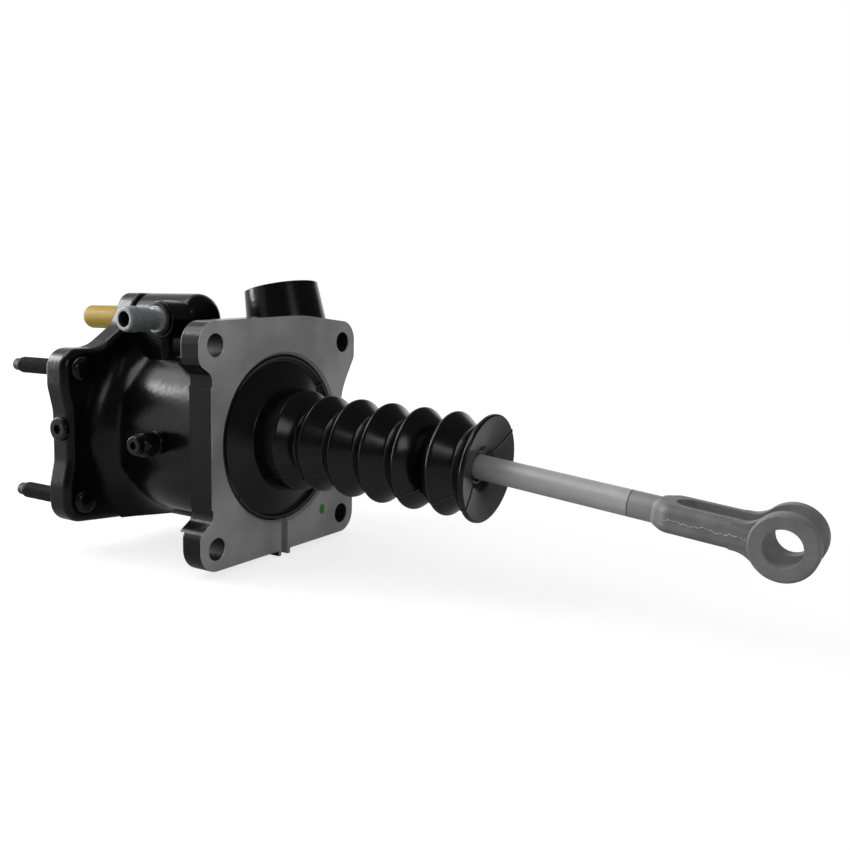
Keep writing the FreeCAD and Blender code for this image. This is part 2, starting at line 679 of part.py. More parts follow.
def side_port_plug():
    """Hexagon plug with a drilled round nose."""
    face = SIDE_WASHER
    thread = disc(4 - SIDE_PORT_DEPTH, face + 0.5, SIDE_PORT_R)
    hexagon = hex_bar(face, face + SIDE_HEX_LENGTH, SIDE_HEX)
    crown = Part.makeCone(SIDE_HEX / 2 + 3, SIDE_NOSE_R - 1, SIDE_HEX_LENGTH + 4, vec(face, 0, 0), AXIS)
    nose_start = face + SIDE_HEX_LENGTH
    nose = turned([
        (nose_start - 1, 0, 0), (nose_start - 1, SIDE_NOSE_R, 0), (nose_start + SIDE_NOSE, SIDE_NOSE_R, 0.8),
        (nose_start + SIDE_NOSE, 0, 0),
    ])
    hole = disc(nose_start + SIDE_NOSE - 7, nose_start + SIDE_NOSE + 1, SIDE_HOLE_R)
    plug = joined(thread, hexagon.common(crown), nose).cut(hole)
    return placed(plug, vec(SIDE_PORT_X, -SIDE_BOSS_REACH, SIDE_PORT_Z), NEAR)


def side_plug_washer():
    washer = ring(0, SIDE_WASHER, SIDE_WASHER_R, SIDE_PORT_R + SLIDE_FIT)
    return placed(washer, vec(SIDE_PORT_X, -SIDE_BOSS_REACH, SIDE_PORT_Z), NEAR)


def plate_edge_plug():
    """Round-headed plug that closes the drilled passage in the plate's edge."""
    plug = turned([
        (-EDGE_PLUG_SHANK, 0, 0), (-EDGE_PLUG_SHANK, EDGE_PORT_R - SLIDE_FIT, 0.4),
        (0, EDGE_PORT_R - SLIDE_FIT, 0), (0, EDGE_PLUG_R, 0), (EDGE_PLUG_HEAD, EDGE_PLUG_R, 1.4),
        (EDGE_PLUG_HEAD, 0, 0),
    ])
    socket = hex_bar(EDGE_PLUG_HEAD - 2, EDGE_PLUG_HEAD + 1, 5.0)
    return placed(plug.cut(socket), vec(plate_middle_x(), -edge_port_y(), EDGE_PORT_Z), NEAR)


def check_ball_y():
    """Distance from the axis at which the ball sits on the edge of the smaller drilling."""
    seat = edge_port_y() - EDGE_PORT_DEPTH
    return seat + math.sqrt(CHECK_BALL_R ** 2 - EDGE_DRILL_R ** 2) + 0.05


def check_ball():
    return Part.makeSphere(CHECK_BALL_R, vec(plate_middle_x(), -check_ball_y(), EDGE_PORT_Z))


def check_spring():
    start = check_ball_y() + CHECK_BALL_R + 0.05
    spring = coil(start, edge_port_y() - EDGE_PLUG_SHANK - 0.05, EDGE_PORT_R - 1.2, CHECK_WIRE, 5)
    return placed(spring, vec(plate_middle_x(), 0, EDGE_PORT_Z), NEAR)


def pump_port_plug():
    """Closing plug of the reserve pump's port, with a hexagon socket."""
    bottom = 1.2 - PUMP_PORT_DEPTH
    plug = turned([
        (bottom, 0, 0), (bottom, PUMP_PORT_R - 2 * RING_SECTION, 0),
        (bottom + 4, PUMP_PORT_R - 2 * RING_SECTION, 0),
        (bottom + 4, PUMP_PORT_R - SLIDE_FIT, 0), (0.6, PUMP_PORT_R - SLIDE_FIT, 0.8), (0.6, 0, 0),
    ])
    return placed(plug.cut(hex_bar(0.6 - PUMP_HEX_DEPTH, 2, PUMP_PLUG_HEX)), PUMP_TOP, pump_axis())


def pump_port_seal():
    seal = o_ring(3.2 - PUMP_PORT_DEPTH, PUMP_PORT_R - RING_SECTION, RING_SECTION - 0.05)
    return placed(seal, PUMP_TOP, pump_axis())


# Power piston group

def power_piston():
    """Piston disc with ring grooves, a rear pocket for the input piston and a hub for the output rod."""
    body = turned([
        (PISTON_REAR_X, 0, 0), (PISTON_REAR_X, PISTON_R, 1), (PISTON_FRONT_X, PISTON_R, 1),
        (PISTON_FRONT_X, HUB_R, 1), (HUB_X, HUB_R, 1), (HUB_X, 0, 0),
    ])
    seal_x = piston_seal_x()
    guide_x = piston_guide_x()
    cuts = [
        disc(POCKET_X, PISTON_REAR_X + 1, INPUT_R + 0.3),
        disc(HUB_X - 1, output_rear_x(), OUTPUT_R + SLIDE_FIT),
        ring(seal_x, seal_x - PISTON_SEAL, PISTON_R + 1, PISTON_R - PISTON_SEAL_DEPTH),
        ring(guide_x, guide_x - GUIDE_WIDTH, PISTON_R + 1, PISTON_R - GUIDE_DEPTH),
        disc(output_rear_x() - 1, POCKET_X + 1, POPPET_R - 1.5),
    ]
    return body.cut(Part.makeCompound(cuts))


def output_rear_x():
    return PISTON_FRONT_X - 0.5


def piston_seal_x():
    return PISTON_REAR_X - 4


def piston_guide_x():
    return PISTON_FRONT_X + 2 + GUIDE_WIDTH


def power_piston_seal():
    x = piston_seal_x() - 0.1
    width = PISTON_SEAL - 0.2
    return turned([
        (x, PISTON_R - PISTON_SEAL_DEPTH + 0.1, 0), (x, PISTON_R, 0.5), (x - width / 2, PISTON_R - 0.8, 0),
        (x - width, PISTON_R, 0.5), (x - width, PISTON_R - PISTON_SEAL_DEPTH + 0.1, 0),
    ])


def piston_guide_ring():
    """Split guide band."""
    x = piston_guide_x() - 0.1
    band = ring(x, x - GUIDE_WIDTH + 0.2, PISTON_R + PISTON_FIT / 2, PISTON_R - GUIDE_DEPTH + 0.1)
    return band.cut(Part.makeBox(20, 1.5, 60, vec(x - 10, -0.75, 0)))


def return_spring():
    return coil(BORE_END_X + 0.1, PISTON_FRONT_X - 0.1, SPRING_R, SPRING_WIRE, SPRING_TURNS)


def output_push_rod():
    end = PLATE_FACE_X - OUTPUT_PROUD
    return turned([
        (output_rear_x() - 0.05, 0, 0), (output_rear_x() - 0.05, OUTPUT_R, 0.8),
        (end + OUTPUT_NOSE, OUTPUT_R, 1), (end + OUTPUT_NOSE - 1, OUTPUT_NOSE_R, 0),
        (end, OUTPUT_NOSE_R, 3), (end, 0, 0),
    ])


def output_rod_seal():
    x = PLATE_FACE_X + 4.1
    return ring(x, x + OUTPUT_SEAL, OUTPUT_R + 2.95, OUTPUT_R + 3 * SLIDE_FIT)


def master_cylinder_o_ring():
    return o_ring(PLATE_FACE_X + 1.0, FACE_RING_R, RING_SECTION - 0.05)


# Input group

def input_end_plug():
    """Plug that closes the bore and guides the input piston."""
    body = turned([
        (PLUG_REAR_X, INPUT_R + SLIDE_FIT, 0.5), (PLUG_REAR_X, BORE_R - SLIDE_FIT, 0.8),
        (PLUG_FRONT_X, BORE_R - SLIDE_FIT, 0.8), (PLUG_FRONT_X, INPUT_R + SLIDE_FIT, 0.5),
    ])
    middle = (PLUG_REAR_X + PLUG_FRONT_X) / 2
    outer = ring(middle - 2, middle + 2, BORE_R + 1, BORE_R - 2 * RING_SECTION - 0.15)
    inner = disc(middle - INPUT_SEAL / 2 - 0.1, middle + INPUT_SEAL / 2 + 0.1, INPUT_R + INPUT_SEAL_DEPTH)
    return body.cut(Part.makeCompound([outer, inner]))


def end_plug_o_ring():
    middle = (PLUG_REAR_X + PLUG_FRONT_X) / 2
    return o_ring(middle, BORE_R - RING_SECTION - 0.08, RING_SECTION)


def input_piston_seal():
    middle = (PLUG_REAR_X + PLUG_FRONT_X) / 2
    half = INPUT_SEAL / 2
    return ring(middle - half, middle + half, INPUT_R + INPUT_SEAL_DEPTH - 0.05, INPUT_R + 2 * SLIDE_FIT)


def retaining_ring():
    """Open ring with two plier holes, sprung into the bore's groove."""
    x0 = SNAP_FRONT_X + 0.1
    x1 = x0 + SNAP_RING
    outer = BORE_R + SNAP_RING_DEPTH - 0.2
    inner = outer - SNAP_RING_WIDTH
    body = ring(x0, x1, outer, inner)
    for side in (-1, 1):
        angle = math.asin((SNAP_RING_GAP / 2 + 4) / (inner + 1))
        ear = Part.makeCylinder(4.5, SNAP_RING, vec(x0, side * (inner + 1) * math.sin(angle),
                                                  -(inner + 1) * math.cos(angle)), AXIS)
        body = joined(body, ear)
        hole = Part.makeCylinder(1.4, SNAP_RING + 2, vec(x0 - 1, side * inner * math.sin(angle),
                                                        -inner * math.cos(angle)), AXIS)
        body = body.cut(hole)
    gap = Part.makeBox(SNAP_RING + 2, SNAP_RING_GAP, BORE_R + 10, vec(x0 - 1, -SNAP_RING_GAP / 2, -BORE_R - 10))
    return body.cut(gap)


def input_piston():
    """Plunger with a ball socket behind and a bore for the throttle poppet in front."""
    body = turned([
        (INPUT_REAR_X, 0, 0), (INPUT_REAR_X, INPUT_R, 1), (INPUT_FRONT_X, INPUT_R, 1), (INPUT_FRONT_X, 0, 0),
    ])
    socket_r = BALL_R + BALL_FIT
    cuts = [
        Part.makeSphere(socket_r, vec(BALL_X, 0, 0)),
        disc(BALL_X, INPUT_REAR_X + 1, socket_r),
        disc(INPUT_FRONT_X - 1, INPUT_FRONT_X + POPPET_BORE_DEPTH, POPPET_R + SLIDE_FIT),
    ]
    piece = body
    for cut in cuts:
        piece = piece.cut(cut)
    return piece


def rod_retainer():
    """Grommet that holds the ball in its socket and leaves the rod room to tilt."""
    x0 = BALL_X + RETAINER_START
    x1 = INPUT_REAR_X - 0.3
    lean = (x1 - BALL_X) * math.tan(math.radians(TILT + 1))
    body = disc(x0, x1, BALL_R + BALL_FIT - SLIDE_FIT)
    body = body.cut(Part.makeSphere(BALL_R + 2 * BALL_FIT, vec(BALL_X, 0, 0)))
    return body.cut(disc(x0 - 1, x1 + 1, ROD_R + lean))


def throttle_poppet():
    front = INPUT_FRONT_X - POPPET_PROUD
    back = front + POPPET_LENGTH + POPPET_PROUD
    return turned([
        (front, 0, 0), (front, POPPET_R - 2, 0), (front + POPPET_PROUD + 0.8, POPPET_R, 0),
        (back, POPPET_R, 0.3), (back, 0, 0),
    ])


def throttle_spring():
    start = INPUT_FRONT_X + POPPET_LENGTH + 0.05
    return coil(start, INPUT_FRONT_X + POPPET_BORE_DEPTH - 0.05, POPPET_R - 1.0, POPPET_WIRE, 2)


# Pedal rod group

def rod_frame(shape):
    """Moves a piece from the bent stretch's own frame, +X along the rod from the bend's corner."""
    moved = shape.copy()
    turn = FreeCAD.Rotation(vec(0, 1, 0), BEND_ANGLE)
    moved.Placement = FreeCAD.Placement(vec(BEND_X, 0, 0), turn)
    return moved


def rod_sweep(radius, start_x, end):
    """Round bar along the axis, round the bend, and out to a distance from the bend's corner."""
    angle = math.radians(BEND_ANGLE)
    reach = BEND_R * math.tan(angle / 2)
    outward = vec(math.cos(angle), 0, -math.sin(angle))
    corner = vec(BEND_X, 0, 0)
    first = corner - AXIS * reach
    last = corner + outward * reach
    centre = first - vec(0, 0, BEND_R)
    middle = centre + vec(math.sin(angle / 2), 0, math.cos(angle / 2)) * BEND_R
    start = vec(start_x, 0, 0)
    path = Part.Wire([
        Part.LineSegment(start, first).toShape(), Part.Arc(first, middle, last).toShape(),
        Part.LineSegment(last, corner + outward * end).toShape(),
    ])
    section = Part.Wire(Part.makeCircle(radius, start, AXIS))
    return path.makePipeShell([section], True, False)


def pedal_push_rod():
    ball = Part.makeSphere(BALL_R, vec(BALL_X, 0, 0))
    return joined(rod_sweep(ROD_R, BALL_X, SHANK_START), ball)


def clevis():
    """Forged fork: round shank, rounded arms, and an eye at the end of each arm."""
    half = ARM_HEIGHT / 2
    shank = disc(SHANK_START, YOKE_START + SHOULDER, ROD_R)
    arms = plan_prism([
        (YOKE_START, -ROD_R, 2), (YOKE_START + SHOULDER, -ARM_HALF_WIDTH, 6),
        (EYE_CENTRE, -ARM_HALF_WIDTH, 0), (EYE_CENTRE, ARM_HALF_WIDTH, 0),
        (YOKE_START + SHOULDER, ARM_HALF_WIDTH, 6), (YOKE_START, ROD_R, 2),
    ], -half, half)
    long_edges = []
    for edge in arms.Edges:
        box = edge.BoundBox
        flat = abs(box.ZMax - box.ZMin) < 1e-4
        if flat and box.XMin < EYE_CENTRE - 1:
            long_edges.append(edge)
    arms = arms.makeFillet(ARM_EDGE_R, long_edges)
    eye = turned([
        (-EYE_HALF_WIDTH, 0, 0), (-EYE_HALF_WIDTH, EYE_R, EYE_EDGE_R), (EYE_HALF_WIDTH, EYE_R, EYE_EDGE_R),
        (EYE_HALF_WIDTH, 0, 0),
    ])
    eye = placed(eye, vec(EYE_CENTRE, 0, 0), vec(0, 1, 0))
    lean = 5.0
    rise = math.sqrt(EYE_R ** 2 - lean ** 2) - 0.1
    flare = side_prism([
        (FLARE_START, -half + 0.4, 0), (FLARE_START, half - 0.4, 0), (FLARE_START + 6, half - 0.2, 12),
        (EYE_CENTRE - lean, rise, 0), (EYE_CENTRE - lean, -rise, 0), (FLARE_START + 6, 0.2 - half, 12),
    ], -ARM_HALF_WIDTH + 0.3, ARM_HALF_WIDTH - 0.3)
    fork = joined(shank, arms, eye, flare)
    slot_length = EYE_CENTRE + EYE_R + 2 - SLOT_ROOT - SLOT_HALF
    slot = Part.makeBox(slot_length, 2 * SLOT_HALF, 60, vec(SLOT_ROOT + SLOT_HALF, -SLOT_HALF, -30))
    root = Part.makeCylinder(SLOT_HALF, 60, vec(SLOT_ROOT + SLOT_HALF, 0, -30))
    bore = Part.makeCylinder(PIN_R, 60, vec(EYE_CENTRE, -30, 0), vec(0, 1, 0))
    return rod_frame(fork.cut(slot).cut(root).cut(bore))


# Bellows

def fold_places():
    """Crest and valley corners of the drooping stretch, as (x, radius, fillet)."""
    corners = [(BOOT_JOIN_X - 1.5, BOOT_VALLEY_R, 0)]
    for i in range(FOLD_COUNT):
        crest = FOLD_FIRST_X + i * FOLD_PITCH
        valley = crest + FOLD_PITCH / 2
        corners.append((crest, FOLD_R, FOLD_CREST_R))
        if i < FOLD_COUNT - 1:
            corners.append((valley, BOOT_VALLEY_R, FOLD_VALLEY_R))
    corners.append(((DISC_X + FOLD_FIRST_X + (FOLD_COUNT - 1) * FOLD_PITCH) / 2, BOOT_VALLEY_R, FOLD_VALLEY_R))
    return corners


def boot():
    """Bellows: bead and web in the recess, a short fold, five full ones and a dished front disc."""
    inner_r = BOOT_VALLEY_R - BOOT_WALL
    corner_x, corner_r = WEB_CORNER
    crest_x, crest_r = BASE_CREST
    outer = [
        (BEAD_BACK_X, BEAD_INNER_R - 2, 0), (BEAD_BACK_X, BEAD_R, 1), (BEAD_FRONT_X, BEAD_R, 0.9),
        (BEAD_FRONT_X, BEAD_INNER_R, 0.6), (WEB_RIM_X, BEAD_INNER_R - 1, 0.6),
        (corner_x, corner_r, 1), (crest_x, crest_r, FOLD_CREST_R), (BOOT_JOIN_X, BOOT_VALLEY_R, 0),
    ]
    inner = [
        (BOOT_JOIN_X, inner_r, 0), (crest_x, crest_r - BOOT_WALL - 0.6, FOLD_VALLEY_R),
        (corner_x - WEB_WALL, corner_r - BOOT_WALL, 1), (WEB_RIM_X - WEB_WALL, BEAD_INNER_R - 3, 0.5),
    ]
    base = turned(outer + inner)

    folds = fold_places()
    valley = folds[-1]
    disc_back = DISC_X - DISC_RIM / 2
    disc_front = DISC_X + DISC_RIM / 2
    neck_r = ROD_R + NECK_WALL
    outside = folds + [
        (disc_back, DISC_R, 1.2), (disc_front, DISC_R, 1.2),
        (disc_front - DISC_DISH, neck_r + 2, 3), (disc_front + NECK_LENGTH - DISC_DISH - 3, neck_r, 0.8),
    ]
    inside = [
        (disc_front + NECK_LENGTH - DISC_DISH - 3, 1, 0), (disc_front - DISC_DISH - BOOT_WALL, 1, 0),
        (disc_front - DISC_DISH - BOOT_WALL, neck_r, 0), (disc_back, DISC_R - BOOT_WALL - 1.2, 1),
        (valley[0], inner_r, 1),
    ]
    for x, r, fillet in reversed(folds[1:-1]):
        inside.append((x, r - BOOT_WALL - (0.6 if r > BOOT_VALLEY_R else 0), 1.2))
    inside.append((BOOT_JOIN_X - 1.5, inner_r, 0))
    bellows = turned(outside + inside)
    bellows.rotate(vec(BOOT_JOIN_X, 0, 0), vec(0, 1, 0), BOOT_DROOP)
    rod_room = rod_sweep(ROD_R + BOOT_GAP, BALL_X, SHANK_START)
    return joined(base, bellows).cut(rod_room)


PIECES = [
    booster_housing, master_cylinder_studs, master_cylinder_o_ring, return_hose_barb, return_barb_seal,
    pressure_inlet_fitting, inlet_fitting_seal, protective_cap, flow_shuttle, flow_shuttle_spring,
    side_port_plug, side_plug_washer, plate_edge_plug, check_ball, check_spring, pump_port_plug,
    pump_port_seal, output_push_rod, output_rod_seal, power_piston, power_piston_seal,
    piston_guide_ring, return_spring, input_end_plug, end_plug_o_ring, retaining_ring, input_piston,
    input_piston_seal, throttle_poppet, throttle_spring, rod_retainer, pedal_push_rod, clevis, boot,
]

os.makedirs("parts", exist_ok=True)
for piece in PIECES:
    shape = piece()
    name = piece.__name__
    solids = len(shape.Solids)
    print(name, solids, "solids", round(shape.Volume / 1000, 2), "cm3", "valid", shape.isValid())
    shape.exportStep("parts/" + name + ".step")
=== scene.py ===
import math

import bpy
import numpy as np
from mathutils import Matrix, Vector


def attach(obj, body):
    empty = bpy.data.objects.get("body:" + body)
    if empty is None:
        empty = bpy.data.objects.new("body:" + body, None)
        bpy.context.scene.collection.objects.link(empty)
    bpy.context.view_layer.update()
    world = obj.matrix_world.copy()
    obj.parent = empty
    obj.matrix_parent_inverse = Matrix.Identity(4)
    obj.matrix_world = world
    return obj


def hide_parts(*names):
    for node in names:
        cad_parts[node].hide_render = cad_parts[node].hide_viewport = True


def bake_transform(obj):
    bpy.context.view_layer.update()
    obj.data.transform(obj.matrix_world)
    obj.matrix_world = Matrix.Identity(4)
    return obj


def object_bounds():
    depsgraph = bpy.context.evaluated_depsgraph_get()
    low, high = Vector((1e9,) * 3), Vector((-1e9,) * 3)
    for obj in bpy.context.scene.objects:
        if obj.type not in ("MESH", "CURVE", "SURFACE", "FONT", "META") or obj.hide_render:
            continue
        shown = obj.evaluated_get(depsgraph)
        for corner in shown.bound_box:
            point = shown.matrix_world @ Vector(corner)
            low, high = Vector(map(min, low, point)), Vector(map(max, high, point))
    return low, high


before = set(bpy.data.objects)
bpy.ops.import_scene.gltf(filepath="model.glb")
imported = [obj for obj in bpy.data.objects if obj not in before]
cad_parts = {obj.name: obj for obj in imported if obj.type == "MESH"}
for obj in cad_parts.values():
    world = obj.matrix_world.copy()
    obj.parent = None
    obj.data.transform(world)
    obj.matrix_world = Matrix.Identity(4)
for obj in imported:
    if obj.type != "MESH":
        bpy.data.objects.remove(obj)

cad_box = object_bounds()

# Housing casting: one grey iron casting that is barrel, rear flange, front plate, valve body and
# pump boss. It is sand cast, painted gloss black and then machined bare on its faces, in the bellows
# recess and in the slot. Shade is painted inside the bolt holes, and a dab of green paint marks it.

MM = 0.001
MASK_DEPTH = 0.12
FACE_X = 0.0
PLATE_FACE_X = -106.5
RECESS_RIM_R = 51.3
RECESS_FLOOR_X = -8.3
BOLT_PLACE = 54.0
BOLT_RIM_R = 6.5
HOLE_MOUTH = 0.8
SLOT_HALF = 3.0
SLOT_FLOOR_X = -4.2
PUMP_TOP = (-0.0310, 0.0323, 0.0863)
PUMP_SIDE_Y = 8.0
PUMP_LEAN = math.radians(12)
PUMP_UP = Vector((-math.sin(PUMP_LEAN), 0, math.cos(PUMP_LEAN)))
DAB_PLACE = (0.0, 0.0348, -0.0481)
DAB_HALF_MM = (3.0, 2.7, 3.5)
DAB_RAG = 0.9
DAB_EDGE = 1.35
GRAIN_MM = 0.9
PEEL_MM = 3.2
STAIN_MM = 35.7
STREAK_MM = 2.2
STREAK_DRAW = (1, 0.12, 1)
STREAK_SHARE = 0.12
BARE_METALLIC = 0.35


def colour(code):
    """Linear colour of an sRGB hex value: each channel through the sRGB curve, with alpha 1."""
    channels = np.array([int(code[i:i + 2], 16) for i in (0, 2, 4)]) / 255
    low, high = channels / 12.92, ((channels + 0.055) / 1.055) ** 2.4
    return (*np.where(channels <= 0.04045, low, high).tolist(), 1.0)


def feed(node, inputs):
    """Sets a node's inputs, by name or in the order of the active ones, each to a value or to a
    link from a socket or from another node's first active output."""
    if not isinstance(inputs, dict):
        inputs = dict(zip([i for i, socket in enumerate(node.inputs) if socket.enabled], inputs))
    for socket, value in inputs.items():
        if isinstance(value, bpy.types.Node):
            value = next(output for output in value.outputs if output.enabled)
        if isinstance(value, bpy.types.NodeSocket):
            node.id_data.links.new(value, node.inputs[socket])
        else:
            node.inputs[socket].default_value = value


def add(tree, kind, inputs=(), stops=(), **settings):
    """Adds one shader node with its settings, its inputs, and the places and colours of its ramp."""
    node = tree.nodes.new("ShaderNode" + kind)
    for setting, value in settings.items():
        setattr(node, setting, value)
    for i, (at, code) in enumerate(stops):
        node.color_ramp.elements[i].position, node.color_ramp.elements[i].color = at, colour(code)
    feed(node, inputs)
    return node


def start_material(name, **sockets):
    """New material with one main shader. Gives its node tree, the shader and the object's own
    coordinates in metres."""
    material = bpy.data.materials.new(name)
    material.use_nodes = True
    tree = material.node_tree
    tree.nodes.clear()
    shader = add(tree, "BsdfPrincipled", {k.replace("_", " "): v for k, v in sockets.items()})
    add(tree, "OutputMaterial", {"Surface": shader.outputs[0]})
    place = add(tree, "TexCoord").outputs["Object"]
    return material, tree, shader, place


def dress(material, *names):
    """Gives CAD nodes their finish through the slots of their objects."""
    for name in names:
        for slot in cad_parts[name].material_slots:
            slot.material = material


# Gloss enamel on sand-cast iron: deep black with a sharp, slightly rippled gloss, where the sand's
# grain still shows. The machined places are bare milled iron: mid grey and satin, softly streaked.
cast_black, tree, enamel, place = start_material(
    "gloss_black_enamel_on_cast_iron", IOR=1.5, Specular_IOR_Level=0.36)
at_x, at_y, at_z = add(tree, "SeparateXYZ", (place,)).outputs
on_face = add(tree, "Math", (at_x, (FACE_X - MASK_DEPTH) * MM), operation="GREATER_THAN")
on_plate = add(tree, "Math", (at_x, (PLATE_FACE_X + MASK_DEPTH) * MM), operation="LESS_THAN")
across = add(tree, "VectorMath", (place, (0, 1, 1)), operation="MULTIPLY")
from_axis = add(tree, "VectorMath", (across,), operation="LENGTH")
in_rim = add(tree, "Math", (from_axis, RECESS_RIM_R * MM), operation="LESS_THAN")
above_floor = add(tree, "Math", (at_x, RECESS_FLOOR_X * MM), operation="GREATER_THAN")
in_recess = add(tree, "Math", (in_rim, above_floor), operation="MULTIPLY")
folded = add(tree, "VectorMath", (across,), operation="ABSOLUTE")
from_bolt = add(tree, "VectorMath", (folded, (0, BOLT_PLACE * MM, BOLT_PLACE * MM)), operation="DISTANCE")
near_bolt = add(tree, "Math", (from_bolt, BOLT_RIM_R * MM), operation="LESS_THAN")
in_mouth = add(tree, "Math", (at_x, -HOLE_MOUTH * MM), operation="GREATER_THAN")
# Painted shade: below its bare mouth, each bolt hole's wall is coloured darker, as shade in the hole.
hole_shade = add(tree, "Math", (near_bolt, in_mouth), operation="SUBTRACT", use_clamp=True)
off_middle = add(tree, "Math", (at_y,), operation="ABSOLUTE")
slot_wide = add(tree, "Math", (off_middle, SLOT_HALF * MM), operation="LESS_THAN")
slot_deep = add(tree, "Math", (at_x, SLOT_FLOOR_X * MM), operation="GREATER_THAN")
slot_low = add(tree, "Math", (at_z, -RECESS_RIM_R * MM), operation="LESS_THAN")
slot_end = add(tree, "Math", (slot_deep, slot_low), operation="MULTIPLY")
in_slot = add(tree, "Math", (slot_wide, slot_end), operation="MULTIPLY")
pump_rise = add(tree, "VectorMath", (place, PUMP_UP), operation="DOT_PRODUCT")
pump_level = PUMP_UP.dot(Vector(PUMP_TOP)) - MASK_DEPTH * MM
pump_high = add(tree, "Math", (pump_rise, pump_level), operation="GREATER_THAN")
pump_side = add(tree, "Math", (at_y, PUMP_SIDE_Y * MM), operation="GREATER_THAN")
on_pump = add(tree, "Math", (pump_side, pump_high), operation="MULTIPLY")
bare = on_face
for mask in (on_plate, in_recess, near_bolt, in_slot, on_pump):
    bare = add(tree, "Math", (bare, mask), operation="MAXIMUM")

grain = add(tree, "TexNoise", {"Vector": place, "Scale": 1 / (GRAIN_MM * MM), "Detail": 3.0})
peel = add(tree, "TexNoise", {"Vector": place, "Scale": 1 / (PEEL_MM * MM), "Detail": 1.0})
drawn = add(tree, "Mapping", {"Vector": place, "Scale": STREAK_DRAW})
streaks = add(tree, "TexNoise", {"Vector": drawn, "Scale": 1 / (STREAK_MM * MM), "Detail": 3.0})
stain = add(tree, "TexNoise", {"Vector": place, "Scale": 1 / (STAIN_MM * MM), "Detail": 2.0})
tone = add(tree, "Mix", (STREAK_SHARE, stain, streaks))
iron = add(tree, "ValToRGB", (tone,), stops=((0.38, "999999"), (0.62, "b7b7b7")))
aside = add(tree, "VectorMath", (place, DAB_PLACE), operation="SUBTRACT")
scaled = add(tree, "VectorMath", (aside, [1 / (half * MM) for half in DAB_HALF_MM]), operation="MULTIPLY")
from_dab = add(tree, "VectorMath", (scaled,), operation="LENGTH")
ragged = add(tree, "Math", (grain, DAB_RAG, from_dab), operation="MULTIPLY_ADD")
in_dab = add(tree, "Math", (ragged, DAB_EDGE), operation="LESS_THAN")
marked = add(tree, "Mix", (in_dab, iron, colour("2f8a3a")), data_type="RGBA")
# Painted shade: the bolt holes' walls below the mouth take a dark iron colour.
hole_shaded = add(tree, "Mix", (hole_shade, marked, colour("2a2929")), data_type="RGBA")
skin = add(tree, "Mix", (bare, colour("080809"), hole_shaded), data_type="RGBA")
unmarked = add(tree, "Math", (bare, in_dab), operation="SUBTRACT", use_clamp=True)
metallic = add(tree, "Math", (unmarked, BARE_METALLIC), operation="MULTIPLY")
paint_rough = add(tree, "Math", (grain, 0.16, 0.13), operation="MULTIPLY_ADD")
bare_rough = add(tree, "Math", (streaks, 0.14, 0.40), operation="MULTIPLY_ADD")
rough = add(tree, "Mix", (bare, paint_rough, bare_rough))
sand = add(tree, "Math", (grain, 0.35, peel), operation="MULTIPLY_ADD")
milled = add(tree, "Math", (streaks, 0.2), operation="MULTIPLY")
relief = add(tree, "Mix", (bare, sand, milled))
bump = add(tree, "Bump", {"Height": relief, "Strength": 0.4, "Distance": 0.22 * MM})
feed(enamel, {"Base Color": skin, "Metallic": metallic, "Roughness": rough, "Normal": bump})
dress(cast_black, "booster_housing")

# Master cylinder studs: four steel studs with round heads, pressed through the front plate, heads
# behind and threads in front. They are rolled and phosphated dull and dark, and the heads were
# painted black with the casting.

STUD_R = 4.76
STUD_HEAD = [(-87.4, 0.4), (-87.45, 3.6), (-87.8, 5.2), (-88.5, 6.3), (-89.5, 6.9), (-91.0, 7.0)]
STUD_SHANK = [(-91.0, STUD_R), (-107.6, STUD_R)]
STUD_POINT = [(-142.5, STUD_R), (-144.6, 3.95), (-145.4, 3.75), (-148.6, 3.6), (-149.2, 3.2), (-149.5, 2.5)]
STUD_CENTRES = [(y, z) for y in (-66.7, 66.7) for z in (-37.5, 37.5)]
STUD_PAINT_X = -92.5
STUD_MOTTLE_MM = 0.7
THREAD_PITCH = 1.5875
THREAD_DEPTH = 0.85
THREAD_START_X = -107.6
THREAD_START_FADE = 1.0
THREAD_END_X = -144.0
THREAD_END_FADE = 3.5
THREAD_ROWS = 217
ROW_GAP = 0.1


def ring_faces(rows, around, loop=False):
    """Quads of a grid whose columns run round and join, and whose rows join too in a loop."""
    row = np.arange(rows if loop else rows - 1)[:, None]
    column = np.arange(around)[None, :]
    below, beside = (row + 1) % rows, (column + 1) % around
    corners = [row * around + column, row * around + beside, below * around + beside,
               below * around + column]
    return np.stack(corners, -1).reshape(-1, 4)


def make_piece(name, points, faces, material, body, slot_name):
    """New mesh object from points in millimetres and faces, smooth, on its body."""
    mesh = bpy.data.meshes.new(name)
    mesh.from_pydata((np.asarray(points) * MM).tolist(), [], [list(face) for face in faces])
    mesh.shade_smooth()
    mesh.materials.append(material)
    piece = bpy.data.objects.new(name, mesh)
    bpy.context.scene.collection.objects.link(piece)
    if body:
        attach(piece, body)
    return piece


def outward(points, faces):
    """Turns the faces round where the volume that they enclose, the sum over quads of corner dot
    (edge cross edge), comes out negative."""
    a, b, c, d = (points[faces[:, i]] for i in range(4))
    volume = (a * np.cross(b, c)).sum() + (a * np.cross(c, d)).sum()
    return faces if volume > 0 else faces[:, ::-1]


def closed_tube(points, rows, around):
    """Faces of a tube of rings with both ends closed. The ends turn round with the quads."""
    quads = ring_faces(rows, around)
    faces = outward(points, quads).tolist()
    ends = [list(range(around))[::-1], list(range((rows - 1) * around, rows * around))]
    if faces[0] != quads[0].tolist():
        ends = [end[::-1] for end in ends]
    return faces + ends


